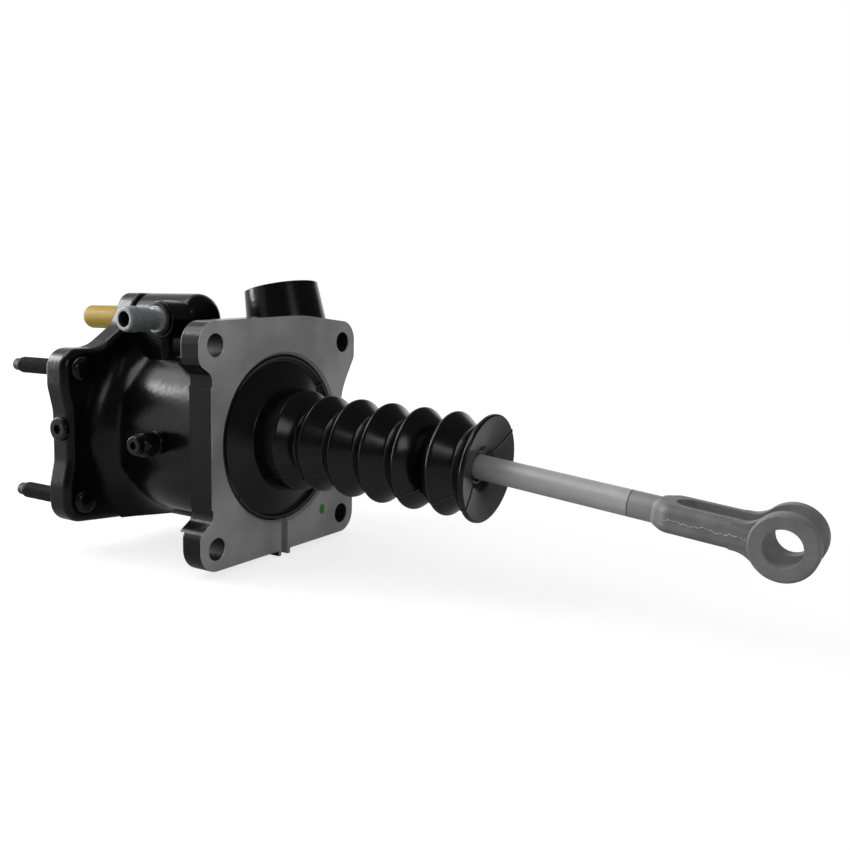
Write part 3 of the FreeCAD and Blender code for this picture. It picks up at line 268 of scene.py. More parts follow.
def stud_shape(around=28):
    """Threaded stud along X: radius is the outline less the thread's depth times a triangle wave
    of (x over pitch less turn), which makes one right-hand helix. Quads, with an end face each."""
    outline = np.array(STUD_HEAD + STUD_SHANK + STUD_POINT)
    plain = len(STUD_HEAD + STUD_SHANK)
    end_x, end_r = STUD_POINT[-1]
    thread_x = np.linspace(THREAD_START_X - ROW_GAP, end_x + ROW_GAP, THREAD_ROWS)
    thread_r = np.interp(-thread_x, -outline[plain - 1:, 0], outline[plain - 1:, 1])
    x = np.concatenate([outline[:plain, 0], thread_x, [end_x]])
    radius = np.concatenate([outline[:plain, 1], thread_r, [end_r]])
    turn = np.linspace(0, 2 * math.pi, around, endpoint=False)
    phase = (x[:, None] / THREAD_PITCH - turn[None, :] / (2 * math.pi)) % 1
    cut = THREAD_DEPTH * np.abs(2 * phase - 1)
    fade_in = np.clip((THREAD_START_X - x) / THREAD_START_FADE, 0, 1)
    fade_out = np.clip((x - THREAD_END_X) / THREAD_END_FADE, 0, 1)
    radius = radius[:, None] - cut * (fade_in * fade_out)[:, None]
    grid = np.stack([x[:, None] + 0 * radius, radius * np.cos(turn), radius * np.sin(turn)], -1)
    points = grid.reshape(-1, 3)
    return points, closed_tube(points, len(x), around)


# Phosphated steel: charcoal, dull and faintly mottled. The heads have the casting's gloss enamel.
phosphate, tree, coat, place = start_material("phosphated_steel", Specular_IOR_Level=0.4)
at_x = add(tree, "SeparateXYZ", (place,)).outputs[0]
painted = add(tree, "Math", (at_x, STUD_PAINT_X * MM), operation="GREATER_THAN")
mottle = add(tree, "TexNoise", {"Vector": place, "Scale": 1 / (STUD_MOTTLE_MM * MM), "Detail": 3.0})
charcoal = add(tree, "ValToRGB", (mottle,), stops=((0.35, "2b2c2e"), (0.70, "47484b")))
skin = add(tree, "Mix", (painted, charcoal, colour("080809")), data_type="RGBA")
metallic = add(tree, "Mix", (painted, 0.6, 0.0))
dull = add(tree, "Math", (mottle, 0.2, 0.38), operation="MULTIPLY_ADD")
rough = add(tree, "Math", (painted, -0.28, dull), operation="MULTIPLY_ADD")
feed(coat, {"Base Color": skin, "Metallic": metallic, "Roughness": rough})

stud_points, stud_faces = stud_shape()
all_points, all_faces = [], []
for y, z in STUD_CENTRES:
    first = sum(len(points) for points in all_points)
    all_points.append(stud_points + (0, y, z))
    all_faces += [[first + corner for corner in face] for face in stud_faces]
studs = make_piece("threaded_studs", np.concatenate(all_points), all_faces, phosphate, "housing",
                   "stud_phosphate")
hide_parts("master_cylinder_studs")

# Seals: O-rings and lip rings of nitrile rubber, moulded, each in a groove or between two faces.
# They are matt black, with a faint bloom where they have been greased.

BLOOM_MM = 2.5
seal_rubber, tree, rubber, place = start_material("moulded_nitrile_rubber", Specular_IOR_Level=0.35)
bloom = add(tree, "TexNoise", {"Vector": place, "Scale": 1 / (BLOOM_MM * MM), "Detail": 4.0})
skin = add(tree, "ValToRGB", (bloom,), stops=((0.0, "0d0d0e"), (1.0, "232425")))
rough = add(tree, "Math", (bloom, 0.25, 0.42), operation="MULTIPLY_ADD")
feed(rubber, {"Base Color": skin, "Roughness": rough})
dress(seal_rubber, "master_cylinder_o_ring", "return_barb_seal", "inlet_fitting_seal", "pump_port_seal",
      "output_rod_seal", "power_piston_seal", "end_plug_o_ring", "input_piston_seal")

# Return hose barb: turned from steel bar, screwed into its boss, and zinc plated. The plating is
# pale grey and satin, the turning rings still show through it, and the bore is painted dark as shade.

BARB_PLACE = (-0.058, -0.0395, 0.066)
BARB_BORE_R = 4.35
MOTTLE_MM = 1.6
ALONG_X, ALONG_Y = (1, 0, 0), (0, 1, 0)


def turned_metal(name, pale, dark, centre, axis, ring_mm, roughness, metallic=1.0, shaded_bore_mm=0.0):
    """Metal turned on a lathe: rings across the axis through centre, as waves of the distance
    along that axis, with a mottle between two shades and a little spread of roughness. Real rings
    are finer and are drawn as coarse as they need to show. Within the bore's radius of the axis the
    colour is painted dark, as shade inside the bore."""
    material, tree, shader, place = start_material(name, Metallic=metallic)
    off = add(tree, "VectorMath", (place, centre), operation="SUBTRACT")
    along = add(tree, "VectorMath", (off, axis), operation="DOT_PRODUCT")
    turns = add(tree, "Math", (along, 2 * math.pi / (ring_mm * MM)), operation="MULTIPLY")
    rings = add(tree, "Math", (turns,), operation="SINE")
    mottle = add(tree, "TexNoise", {"Vector": place, "Scale": 1 / (MOTTLE_MM * MM), "Detail": 4.0})
    skin = add(tree, "ValToRGB", (mottle,), stops=((0.3, dark), (0.7, pale)))
    if shaded_bore_mm:
        # Painted shade: inside the bore the colour is darkened, as shade in a hollow.
        aside = add(tree, "VectorMath", (off, axis), operation="CROSS_PRODUCT")
        from_axis = add(tree, "VectorMath", (aside,), operation="LENGTH")
        bore_shade = add(tree, "Math", (from_axis, shaded_bore_mm * MM), operation="LESS_THAN")
        skin = add(tree, "Mix", (bore_shade, skin, colour("3a3a3b")), data_type="RGBA")
    rough = add(tree, "Math", (mottle, 0.2, roughness - 0.1), operation="MULTIPLY_ADD")
    relief = add(tree, "Math", (rings, 0.25, mottle), operation="MULTIPLY_ADD")
    bump = add(tree, "Bump", {"Height": relief, "Strength": 0.3, "Distance": 0.06 * MM})
    feed(shader, {"Base Color": skin, "Roughness": rough, "Normal": bump})
    return material


# The barb's bore is painted dark, as shade.
zinc = turned_metal("turned_zinc_plated_steel", "9fa1a3", "86888b", BARB_PLACE, ALONG_Y, 0.45, 0.42,
                    metallic=0.55, shaded_bore_mm=BARB_BORE_R)
dress(zinc, "return_hose_barb")

# Pressure inlet: a steel tube nose with a hexagon, screwed into the valve body's front end and
# plated, and the moulded cap that keeps dirt out of it until the line is fitted.

VALVE_PLACE = (-0.1065, -0.014, 0.066)
inlet = turned_metal("plated_steel_fitting", "a3a49f", "85867f", VALVE_PLACE, ALONG_X, 0.5, 0.38)
dress(inlet, "pressure_inlet_fitting")

# Moulded polyethylene: amber, waxy and half clear, so its wall glows while its core stays darker.
CAP_CLOUD_MM = 6
cap_amber, tree, wax, place = start_material(
    "amber_polyethylene", IOR=1.5, Specular_IOR_Level=0.2, Transmission_Weight=0.25,
    Subsurface_Weight=0.5, Subsurface_Scale=0.004, Subsurface_Radius=(0.7, 0.6, 0.3))
cloud = add(tree, "TexNoise", {"Vector": place, "Scale": 1 / (CAP_CLOUD_MM * MM), "Detail": 2.0})
skin = add(tree, "ValToRGB", (cloud,), stops=((0.0, "ab8a16"), (1.0, "c9ab30")))
rough = add(tree, "Math", (cloud, 0.2, 0.3), operation="MULTIPLY_ADD")
feed(wax, {"Base Color": skin, "Roughness": rough})
dress(cap_amber, "protective_cap")

# Flow valve and check valve: a hardened shuttle cup and a bearing ball, each pushed to its seat
# by a small coil spring wound from music wire.

SLANTED = (0.6, 0.5, 0.6)
SHUTTLE_COIL = (-87.7, -56.1, 5.8, 0.9, 7)
SHUTTLE_AXIS = (0, -14.0, 66.0)
CHECK_COIL = (57.25, 68.15, 3.3, 0.7, 5)
CHECK_AXIS = (-98.75, 0, 4.0)
valve_steel = turned_metal("ground_hardened_steel", "c2c3c6", "a9abae", VALVE_PLACE, ALONG_X, 0.3, 0.2)
dress(valve_steel, "flow_shuttle", "check_ball", "throttle_poppet")
spring_wire = turned_metal("oiled_spring_wire", "6b6a68", "474542", VALVE_PLACE, SLANTED, 0.8, 0.33)
dress(spring_wire, "flow_shuttle_spring", "check_spring", "return_spring", "throttle_spring")


def wound(start, end, radius, wire, turns, around=8, rows_a_turn=24):
    """Coil about X from start to end: x grows evenly with the turn, and the wire's round section
    lies in the plane of the axis and the spoke, at (radius + half wire times cos, half wire times sin)."""
    rows = int(turns * rows_a_turn) + 1
    turn = np.linspace(0, 2 * math.pi * turns, rows)[:, None]
    section = np.linspace(0, 2 * math.pi, around, endpoint=False)[None, :]
    x = np.linspace(start + wire / 2, end - wire / 2, rows)[:, None] + wire / 2 * np.sin(section)
    spoke = radius + wire / 2 * np.cos(section)
    points = np.stack([x, spoke * np.cos(turn), spoke * np.sin(turn)], -1).reshape(-1, 3)
    return points, closed_tube(points, rows, around)


def spring(name, node, coil, placed=lambda points: points):
    """Coil piece that stands in for its CAD node, baked where it sits. placed moves points of a coil
    about X to where the coil belongs."""
    points, faces = wound(*coil)
    piece = make_piece(name, placed(points), faces, spring_wire, None, "spring_steel")
    start, end = (placed(np.array([(coil[0], 0, 0), (coil[1], 0, 0)], float)) * MM).tolist()
    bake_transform(piece)
    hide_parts(node)


spring("shuttle_coil", "flow_shuttle_spring", SHUTTLE_COIL,
       lambda points: points + SHUTTLE_AXIS)
spring("check_coil", "check_spring", CHECK_COIL,
       lambda points: points[:, [1, 0, 2]] * (1, -1, 1) + CHECK_AXIS)

# Port plugs: the hexagon plug on its washer in the barrel's side and the round-headed one in the
# plate's edge are steel and were painted over with the casting. The socket plug in the pump boss was
# screwed in after painting, so it shows its oiled black oxide.

PLUG_PLACE = (-0.046, -0.056, -0.001)
black_oxide = turned_metal("oiled_black_oxide_steel", "303134", "17181a", PLUG_PLACE, ALONG_Y, 0.5, 0.3)
dress(black_oxide, "pump_port_plug")

# The same gloss enamel over turned steel: it has the paint's soft ripple, and no sand grain.
RIPPLE_MM = 2.4
painted_steel, tree, paint, place = start_material(
    "gloss_black_enamel_on_steel", IOR=1.5, Specular_IOR_Level=0.4)
ripple = add(tree, "TexNoise", {"Vector": place, "Scale": 1 / (RIPPLE_MM * MM), "Detail": 2.0})
skin = add(tree, "ValToRGB", (ripple,), stops=((0.0, "060607"), (1.0, "101011")))
rough = add(tree, "Math", (ripple, 0.15, 0.1), operation="MULTIPLY_ADD")
bump = add(tree, "Bump", {"Height": ripple, "Strength": 0.4, "Distance": 0.3 * MM})
feed(paint, {"Base Color": skin, "Roughness": rough, "Normal": bump})
dress(painted_steel, "side_port_plug", "side_plug_washer", "plate_edge_plug")

# Power piston group: a turned aluminium piston with a seal and a split guide band of bronze-filled
# PTFE, pushed back by the big return spring, and the ground steel rod that pushes the cylinder.

AXIS_PLACE = (0, 0, 0)
RETURN_COIL = (-93.9, -40.3, 30.0, 3.8, 4)
THROTTLE_COIL = (-27.15, -24.25, 3.1, 0.5, 2)
aluminium = turned_metal("turned_aluminium", "c4c6c8", "adafb2", AXIS_PLACE, ALONG_X, 0.6, 0.32)
dress(aluminium, "power_piston", "input_end_plug")
guide_band = turned_metal("bronze_filled_guide_band", "7d5c3c", "5f452d", AXIS_PLACE, ALONG_X, 0.4, 0.5)
dress(guide_band, "piston_guide_ring")
spring("return_coil", "return_spring", RETURN_COIL)
spring("throttle_coil", "throttle_spring", THROTTLE_COIL)
ground_steel = turned_metal("ground_steel", "bcbdc0", "9fa1a4", AXIS_PLACE, ALONG_X, 0.25, 0.22)
dress(ground_steel, "output_push_rod", "input_piston", "retaining_ring", "rod_retainer")

# Pedal push rod: cold-drawn steel bar with a ball forged on its hidden end, plated a satin grey.
# Long faint drawing lines run along it.

BEND_X = 101.0
BEND = math.radians(5.9)
ROD_ALONG = Vector((math.cos(BEND), 0, -math.sin(BEND)))
LINE_MM = 0.9
LINE_DRAW = (0.03, 1, 1)
ROD_CLOUD_MM = 5
rod_plate, tree, plating, place = start_material("drawn_steel_plated_satin", Metallic=0.3)
centred = add(tree, "Mapping", {
    "Vector": place, "Location": (-BEND_X * MM * math.cos(BEND), 0, -BEND_X * MM * math.sin(BEND)),
    "Rotation": (0, -BEND, 0)})
drawn = add(tree, "Mapping", {"Vector": centred, "Scale": LINE_DRAW})
lines = add(tree, "TexNoise", {"Vector": drawn, "Scale": 1 / (LINE_MM * MM), "Detail": 3.0})
cloud = add(tree, "TexNoise", {"Vector": place, "Scale": 1 / (ROD_CLOUD_MM * MM), "Detail": 5.0})
tone = add(tree, "Mix", (0.5, cloud, lines))
skin = add(tree, "ValToRGB", (tone,), stops=((0.35, "bababa"), (0.65, "c6c6c6")))
rough = add(tree, "Math", (cloud, 0.2, 0.34), operation="MULTIPLY_ADD")
bump = add(tree, "Bump", {"Height": tone, "Strength": 0.2, "Distance": 0.05 * MM})
feed(plating, {"Base Color": skin, "Roughness": rough, "Normal": bump})
dress(rod_plate, "pedal_push_rod")

# Clevis: a drop-forged steel fork, friction welded to the rod, plated with it. Its skin is matt and
# faintly pitted, and the trimmed flash of the forging dies stands along the arms as a wavy ridge.

ARM_FACE_Y = 14.7
WELD_ALONG = 104.5
WELD_WIDE = 0.45
SHANK_END = 118.5
SHANK_FADE = 1
FLASH_RUN = (124.0, 160.0)
FLASH_PROUD = 0.45
FLASH_HALF = 0.38
FLASH_SUNK = 0.12
FLASH_FADE = 5
FLASH_LEAST = 0.02
FLASH_USUAL = 0.8
FLASH_WANDER = [(0.40, 0.5, 0), (0.28, 1.7, 1), (0.16, 3.9, 0)]
FLASH_SWELL = [(0.20, 0.9, 2), (0.15, 3.1, 0)]
PIT_MM = 0.8
FORGED_CLOUD_MM = 9
forged, tree, hide, place = start_material("shot_blasted_forged_steel", Metallic=0.45)
from_corner = add(tree, "VectorMath", (place, (BEND_X * MM, 0, 0)), operation="SUBTRACT")
along = add(tree, "VectorMath", (from_corner, ROD_ALONG), operation="DOT_PRODUCT")
pits = add(tree, "TexNoise", {"Vector": place, "Scale": 1 / (PIT_MM * MM), "Detail": 4.0, "Roughness": 0.65})
cloud = add(tree, "TexNoise", {"Vector": place, "Scale": 1 / (FORGED_CLOUD_MM * MM), "Detail": 3.0})
tone = add(tree, "Mix", (0.4, cloud, pits))
blasted = add(tree, "ValToRGB", (tone,), stops=((0.35, "7c7c7c"), (0.65, "929292")))
shank_starts, shank_ends = (SHANK_END - SHANK_FADE) * MM, (SHANK_END + SHANK_FADE) * MM
on_shank = add(tree, "MapRange", (along, shank_starts, shank_ends, 1.0, 0.0))
in_weld = add(tree, "Math", (along, (WELD_ALONG + WELD_WIDE) * MM), operation="LESS_THAN")
plated = add(tree, "Mix", (on_shank, blasted, colour("a8a8a8")), data_type="RGBA")
skin = add(tree, "Mix", (in_weld, plated, colour("3c3a38")), data_type="RGBA")
pit_rough = add(tree, "Math", (pits, 0.2, 0.46), operation="MULTIPLY_ADD")
rough = add(tree, "Math", (on_shank, -0.1, pit_rough), operation="MULTIPLY_ADD")
pitting = add(tree, "Math", (on_shank, -0.5, 0.6), operation="MULTIPLY_ADD")
bump = add(tree, "Bump", {"Height": tone, "Strength": pitting, "Distance": 0.2 * MM})
feed(hide, {"Base Color": skin, "Roughness": rough, "Normal": bump})
dress(forged, "clevis")


def on_rod(points):
    """Points given along the bent stretch, from its corner, moved to their place: turned down by
    the bend's angle about Y and shifted to the corner."""
    x, y, z = points[..., 0], points[..., 1], points[..., 2]
    return np.stack([BEND_X + x * math.cos(BEND) + z * math.sin(BEND), y,
                     -x * math.sin(BEND) + z * math.cos(BEND)], -1)


def waves(x, terms):
    """Sum of sines, each given by its height, its radians for each millimetre, and its start."""
    return sum(height * np.sin(x * rate + start) for height, rate, start in terms)


def flash_ridge(side, start, end, count=90, across=9):
    """Ridge on an arm's outer face: along it x runs from start to end, its middle wanders in z as
    a sum of sines, its height is a half circle of the place across, and both fade at the ends."""
    x = np.linspace(start, end, count)[:, None]
    turn = np.linspace(0, 2 * math.pi, across, endpoint=False)[None, :]
    fade = np.sqrt(np.clip(np.minimum(x - start, end - x) / FLASH_FADE, FLASH_LEAST, 1))
    size = fade * (FLASH_USUAL + waves(x, FLASH_SWELL))
    z = waves(x, FLASH_WANDER) + FLASH_HALF * size * np.cos(turn)
    y = side * (ARM_FACE_Y - FLASH_SUNK + FLASH_PROUD * size * np.sin(turn))
    points = on_rod(np.stack([x + 0 * z, y + 0 * z, z], -1)).reshape(-1, 3)
    return points, closed_tube(points, count, across)


# Sheared flash: the trimming die left this edge clean and brighter than the blasted skin round it.
sheared = turned_metal("sheared_flash_steel", "c9c9c9", "a2a2a2", AXIS_PLACE, ROD_ALONG, 1.4, 0.4, 0.5)
for side, word in ((-1, "near"), (1, "far")):
    points, faces = flash_ridge(side, *FLASH_RUN)
    make_piece("forging_flash_" + word, points, faces, sheared, "pedal_rod", "clevis_forged")

# Bellows: one natural-rubber moulding with a bead in the flange's recess, one short fold, five
# full folds and a dished disc on the rod. Both halves of its mould left a seam along each side.

FOLD_PITCH = 20.0
FULL_CRESTS = [32.0 + FOLD_PITCH * i for i in range(4)]
LAST_CREST = FULL_CRESTS[-1] + FOLD_PITCH
SPLIT_X = LAST_CREST - FOLD_PITCH / 2
DISC_X = LAST_CREST + FOLD_PITCH
LAST_VALLEY_X = 122.2
LAST_VALLEY_WIDER = 0.4
BOOT_WALL = 2.3
CREST_WALL_MORE = 0.6
CREST_R = 27.5
VALLEY_R = 18.6
INNER_R = VALLEY_R - BOOT_WALL
CREST_ROUND = 1.9
VALLEY_ROUND = 1.7
ROD_ROOM_R = 6.65
DISC_R = 27.8
JOIN_X = 24.5
DROOP = math.radians(1.7)
DISC_LEAN = math.radians(3.6)
LEAN_FROM_X = 117
LEAN_OVER = 12
SEAMS = np.radians([220, 40])
SEAM_HIGH = 0.42
SEAM_HALF = 0.42
SEAM_STEPS = [-1.4, -0.7, -0.45, -0.22, 0, 0.22, 0.45, 0.7, 1.4]
SEAM_CLEAR = 1.9
NEARLY_STRAIGHT = 1.5
RUN_POINT = 0.3
BASE_CORNERS = [
    (-7.6, 43.6, 0), (-7.6, 47.6, 0.8), (-1.6, 47.6, 0.9), (-1.6, 45.5, 0.5), (-3.0, 44.4, 0.5),
    (3.0, 29.6, 1.0), (16.6, 28.4, CREST_ROUND), (23.6, VALLEY_R, 1.5),
]
BASE_INSIDE = [(0.6, 27.3, 1.0), (-5.4, 41.4, 0.5), (-7.6, 41.4, 0)]
FRONT_CORNERS = [
    (SPLIT_X, VALLEY_R, 0), (LAST_CREST, CREST_R, CREST_ROUND),
    (LAST_VALLEY_X, VALLEY_R + LAST_VALLEY_WIDER, VALLEY_ROUND),
    (DISC_X - 1.6, DISC_R, 1.1), (DISC_X + 0.9, DISC_R - 0.2, 1.0), (DISC_X - 1.0, 19.0, 14.0),
    (DISC_X - 3.2, 11.5, 5.0), (DISC_X - 5.4, 8.4, 1.0), (DISC_X - 5.6, ROD_ROOM_R, 0),
]
FRONT_INSIDE = [
    (DISC_X - 7.6, ROD_ROOM_R, 0), (DISC_X - 7.0, 12.0, 1.0), (DISC_X - 2.8, DISC_R - 3.4, 0.6),
    (LAST_VALLEY_X, INNER_R + LAST_VALLEY_WIDER, 1.0),
    (LAST_CREST, CREST_R - BOOT_WALL - CREST_WALL_MORE, 1.0), (SPLIT_X, INNER_R, 0),
]


def rounded_profile(corners, steps=7):
    """Profile of (x, radius) through corners (x, radius, fillet). Each corner becomes an arc that is
    tangent to both of its runs, and each run gets a point close to either end. A corner that is
    all but straight stays a point."""
    places = np.array([corner[:2] for corner in corners], float)
    rows = [places[0]]
    for i in range(1, len(corners) - 1):
        here, fillet = places[i], corners[i][2]
        back = places[i - 1] - here
        ahead = places[i + 1] - here
        back, ahead = back / np.hypot(*back), ahead / np.hypot(*ahead)
        half = math.acos(np.clip(back @ ahead, -1, 1)) / 2
        if half > NEARLY_STRAIGHT:
            rows.append(here)
            continue
        reach = fillet / math.tan(half)
        centre = here + (back + ahead) / np.hypot(*(back + ahead)) * fillet / math.sin(half)
        start, end = here + back * reach - centre, here + ahead * reach - centre
        swing = math.atan2(start[0] * end[1] - start[1] * end[0], start @ end)
        turn = swing * np.linspace(0, 1, steps)
        arc = centre + np.stack([start[0] * np.cos(turn) - start[1] * np.sin(turn),
                                 start[0] * np.sin(turn) + start[1] * np.cos(turn)], -1)
        rows += [arc[0] + back * RUN_POINT, *arc, arc[-1] + ahead * RUN_POINT]
    return np.array(rows + [places[-1]])


def from_seams(turn):
    """Angle from each turn to the nearer of the two seams."""
    return np.abs((turn[:, None] - SEAMS + math.pi) % (2 * math.pi) - math.pi).min(1)


def bellows_part(outside, inside, around=132):
    """Closed shell: the loop of the outside profile and the inside one, swept round a line that
    droops evenly after the join and leans further near the disc. Each seam is a bell-shaped ridge
    along the profile's own normal, at two opposite turns."""
    loop = np.concatenate([outside, inside])
    even = np.linspace(0, 2 * math.pi, around, endpoint=False)
    clear = even[from_seams(even) > SEAM_CLEAR / CREST_R]
    beside = (SEAMS[:, None] + np.array(SEAM_STEPS) / CREST_R).ravel()
    turn = np.sort(np.concatenate([clear, beside]) % (2 * math.pi))
    run = np.gradient(outside, axis=0)
    normal = np.stack([-run[:, 1], run[:, 0]], -1) / np.hypot(run[:, 0], run[:, 1])[:, None]
    normal = np.concatenate([normal, np.zeros_like(inside)])
    ridge = SEAM_HIGH * np.exp(-(from_seams(turn)[None, :] * loop[:, 1:] / SEAM_HALF) ** 2)
    x = loop[:, :1] + ridge * normal[:, :1]
    radius = loop[:, 1:] + ridge * normal[:, 1:]
    middle = np.maximum(loop[:, :1] - JOIN_X, 0)
    near_disc = np.clip((loop[:, :1] - LEAN_FROM_X) / LEAN_OVER, 0, 1)
    lean = np.where(middle > 0, DROOP, 0) + DISC_LEAN * near_disc
    up = radius * np.sin(turn)
    points = np.stack([x + up * np.sin(lean), radius * np.cos(turn) + 0 * x,
                       up * np.cos(lean) - middle * math.tan(DROOP)], -1).reshape(-1, 3)
    return points, outward(points, ring_faces(len(loop), len(turn), loop=True))


# Moulded natural rubber: black with a soft semi-gloss, faintly clouded by the wax that comes to its
# surface, and smooth enough that each crest carries a thin bright line.
BOOT_CLOUD_MM = 14
SPECK_MM = 1.1
boot_rubber, tree, rubber, place = start_material("moulded_natural_rubber", Specular_IOR_Level=0.5)
cloud = add(tree, "TexNoise", {"Vector": place, "Scale": 1 / (BOOT_CLOUD_MM * MM), "Detail": 5.0})
speck = add(tree, "TexNoise", {"Vector": place, "Scale": 1 / (SPECK_MM * MM), "Detail": 3.0})
skin = add(tree, "ValToRGB", (cloud,), stops=((0.35, "060606"), (0.75, "0d0d0e")))
rough = add(tree, "Math", (cloud, 0.16, 0.11), operation="MULTIPLY_ADD")
bump = add(tree, "Bump", {"Height": speck, "Strength": 0.25, "Distance": 0.08 * MM})
feed(rubber, {"Base Color": skin, "Roughness": rough, "Normal": bump})

rear_corners = list(BASE_CORNERS)
for crest in FULL_CRESTS:
    rear_corners.append((crest, CREST_R, CREST_ROUND))
    rear_corners.append((crest + FOLD_PITCH / 2, VALLEY_R, VALLEY_ROUND))
rear_inside = [(SPLIT_X, INNER_R, 0)]
for x, r, _ in rear_corners[-2:5:-1]:
    rear_inside.append((x, r - BOOT_WALL - (CREST_WALL_MORE if r > CREST_R - 1 else 0), 1.0))
rear = bellows_part(rounded_profile(rear_corners), rounded_profile(rear_inside + BASE_INSIDE, 4))
boot_rear = make_piece("bellows_folds", *rear, boot_rubber, None, "boot_rubber")
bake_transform(boot_rear)
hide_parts("boot")
front = bellows_part(rounded_profile(FRONT_CORNERS), rounded_profile(FRONT_INSIDE, 4))
boot_front = make_piece("bellows_disc", *front, boot_rubber, None, "boot_rubber")
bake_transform(boot_front)
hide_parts("boot")

# Studio: a flat pale paper floor lies under the part. In the gloss the room is bright behind it and to
# the left and dim elsewhere, so the gloss black stays black. One soft lamp hangs above, a broad one and
# a tall strip stand to the near left, and a weak one to the right of the camera lights the machined face.

FLOOR_GAP = 0.0005
FLOOR_Z = cad_box[0][2] - FLOOR_GAP
FLOOR_REACH = 6.0
FIBRE_MM = 1.111
BEHIND_Y = (-0.15, 0.25)
NEAR_GLOW, FAR_GLOW = 0.76, 1.0
GLOW_REACH = (0.35, 1.3)
GLOSSY_GLOW = 0.25
SWEEP_WAY = Vector((-0.52, 0.84, -0.13)).normalized()
SWEEP_EDGE = 0.68
SWEEP_FADE = 0.15
LEFT_WAY = Vector((-0.90, 0.10, 0.30)).normalized()
LEFT_EDGE = 0.54
LEFT_FADE = 0.12
LEFT_LEVEL = 0.55
ROOM_LEVEL = 0.08
FILL_LEVEL = 0.50
square = ((-1, -1), (1, -1), (1, 1), (-1, 1))
floor_corners = [(x * FLOOR_REACH, y * FLOOR_REACH, FLOOR_Z) for x, y in square]
floor_mesh = bpy.data.meshes.new("floor")
floor_mesh.from_pydata(floor_corners, [], [(0, 1, 2, 3)])
floor = bpy.data.objects.new("floor", floor_mesh)
bpy.context.scene.collection.objects.link(floor)


def seen_plainly(tree):
    """1 for camera and transmission rays, and the glossy rays' flag beside it."""
    path = add(tree, "LightPath").outputs
    plain = add(tree, "Math", (path["Is Camera Ray"], path["Is Transmission Ray"]), operation="MAXIMUM")
    return plain, path["Is Glossy Ray"]


# Matt pale grey paper: its own shading keeps the part's soft shadow, and a glow that only the lens,
# the glass and the gloss see lifts it to the surround's white. Its fibres are drawn coarse, to show.
paper = bpy.data.materials.new("matt_pale_paper")
paper.use_nodes = True
tree = paper.node_tree
tree.nodes.clear()
place = add(tree, "TexCoord").outputs["Object"]
fibre = add(tree, "TexNoise", {"Vector": place, "Scale": 1 / (FIBRE_MM * MM)})
white = add(tree, "ValToRGB", (fibre,), stops=((0.0, "9a9a9a"), (1.0, "a0a0a0")))
sheet = add(tree, "BsdfDiffuse", {"Color": white})
plain, glossy = seen_plainly(tree)
behind = add(tree, "MapRange", (add(tree, "SeparateXYZ", (place,)).outputs[1], *BEHIND_Y))
off = add(tree, "VectorMath", (place,), operation="LENGTH")
paper_glow = add(tree, "MapRange", (off, *GLOW_REACH, NEAR_GLOW, FAR_GLOW))
behind_glow = add(tree, "Math", (behind, GLOSSY_GLOW), operation="MULTIPLY")
mirrored = add(tree, "Math", (glossy, behind_glow), operation="MULTIPLY")
seen_glow = add(tree, "Math", (plain, paper_glow), operation="MULTIPLY")
shine = add(tree, "Math", (seen_glow, mirrored), operation="MAXIMUM")
glow = add(tree, "Emission", {"Strength": shine})
add(tree, "OutputMaterial", {"Surface": add(tree, "AddShader", (sheet, glow))})
floor_mesh.materials.append(paper)

world = bpy.data.worlds.new("studio")
bpy.context.scene.world = world
world.use_nodes = True
tree = world.node_tree
tree.nodes.clear()
plain, glossy = seen_plainly(tree)
heading = add(tree, "TexCoord").outputs["Generated"]
toward = add(tree, "VectorMath", (heading, SWEEP_WAY), operation="DOT_PRODUCT")
on_sweep = add(tree, "MapRange", (toward, SWEEP_EDGE, SWEEP_EDGE + SWEEP_FADE, ROOM_LEVEL, 1.0))
leftward = add(tree, "VectorMath", (heading, LEFT_WAY), operation="DOT_PRODUCT")
on_left = add(tree, "MapRange", (leftward, LEFT_EDGE, LEFT_EDGE + LEFT_FADE, 0.0, LEFT_LEVEL))
room = add(tree, "Math", (on_sweep, on_left), operation="MAXIMUM")
mirrored = add(tree, "Math", (glossy, room), operation="MULTIPLY")
not_glossy = add(tree, "Math", (1.0, glossy), operation="SUBTRACT")
fill = add(tree, "Math", (not_glossy, FILL_LEVEL, mirrored), operation="MULTIPLY_ADD")
strength = add(tree, "Math", (plain, fill), operation="MAXIMUM")
backdrop = add(tree, "Background", {"Color": (1, 1, 1, 1), "Strength": strength})
add(tree, "OutputWorld", {"Surface": backdrop})


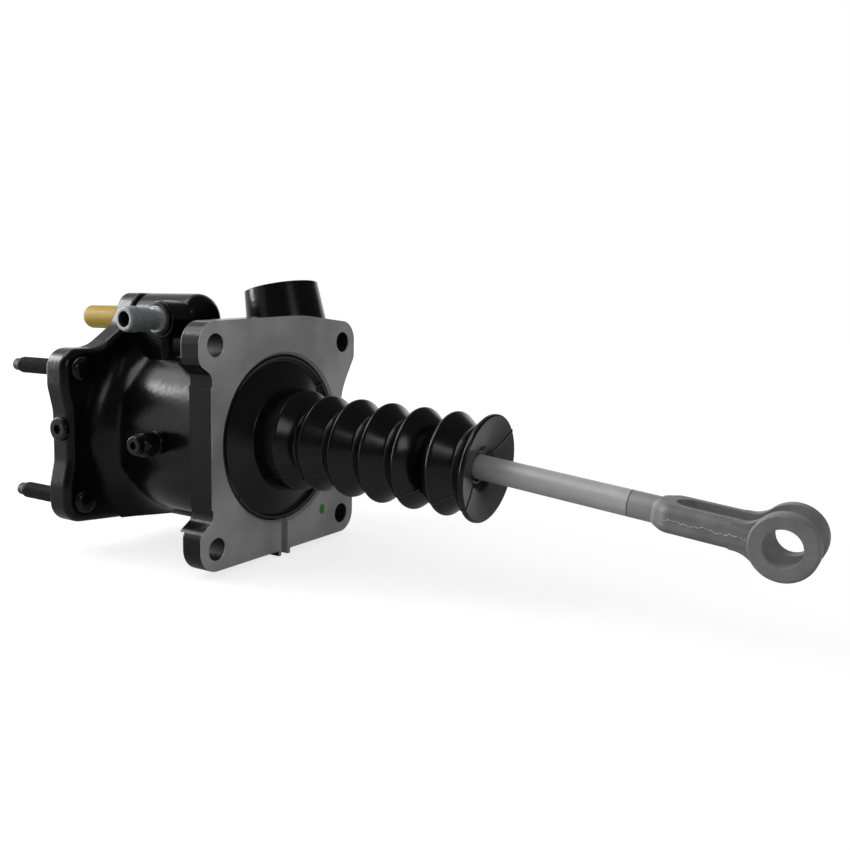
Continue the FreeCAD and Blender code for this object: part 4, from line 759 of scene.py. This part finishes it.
def soft_lamp(name, place, target, wide, tall, watts):
    """Oblong area lamp at a place, facing a target."""
    lamp = bpy.data.lights.new(name, "AREA")
    lamp.shape, lamp.size, lamp.size_y, lamp.energy = "RECTANGLE", wide, tall, watts
    stand = bpy.data.objects.new(name, lamp)
    bpy.context.scene.collection.objects.link(stand)
    stand.location = place
    stand.rotation_euler = (Vector(target) - Vector(place)).to_track_quat("-Z", "Y").to_euler()


soft_lamp("top_lamp", (-0.49, -0.33, 0.74), (0, 0, 0), wide=0.75, tall=0.75, watts=4.0)
soft_lamp("near_left_lamp", (-0.75, -0.95, 0.15), (-0.03, 0, 0), wide=0.8, tall=0.8, watts=0.7)
soft_lamp("left_strip", (-1.0, -0.4, 0.25), (0, 0, 0), wide=0.26, tall=0.9, watts=7.0)
soft_lamp("right_lamp", (0.95, -0.40, 0.40), (0, 0, 0), wide=0.35, tall=0.35, watts=0.8)

# Camera at the photograph's place: right and a little above, looking back along the part. The
# scene is shown in plain sRGB.

CAMERA_PLACE = (0.3277, -0.3814, 0.0726)
YAW, PITCH, ROLL = math.radians(31.46), math.radians(7.27), math.radians(1.32)
FOCAL_MM, SENSOR_MM = 36.92, 36.0
SEEN_FROM, SEEN_TO = 0.01, 30.0
look = Vector((-math.sin(YAW) * math.cos(PITCH), math.cos(YAW) * math.cos(PITCH), -math.sin(PITCH)))
level = Vector((math.cos(YAW), math.sin(YAW), 0))
above = level.cross(look)
right = level * math.cos(ROLL) + above * math.sin(ROLL)
upward = above * math.cos(ROLL) - level * math.sin(ROLL)
lens = bpy.data.cameras.new("photo_camera")
lens.lens, lens.sensor_width = FOCAL_MM, SENSOR_MM
lens.clip_start, lens.clip_end = SEEN_FROM, SEEN_TO
camera = bpy.data.objects.new("photo_camera", lens)
camera.matrix_world = Matrix.Translation(CAMERA_PLACE) @ Matrix((right, upward, -look)).transposed().to_4x4()
bpy.context.scene.collection.objects.link(camera)
bpy.context.scene.camera = camera
bpy.context.scene.view_settings.view_transform = "Standard"
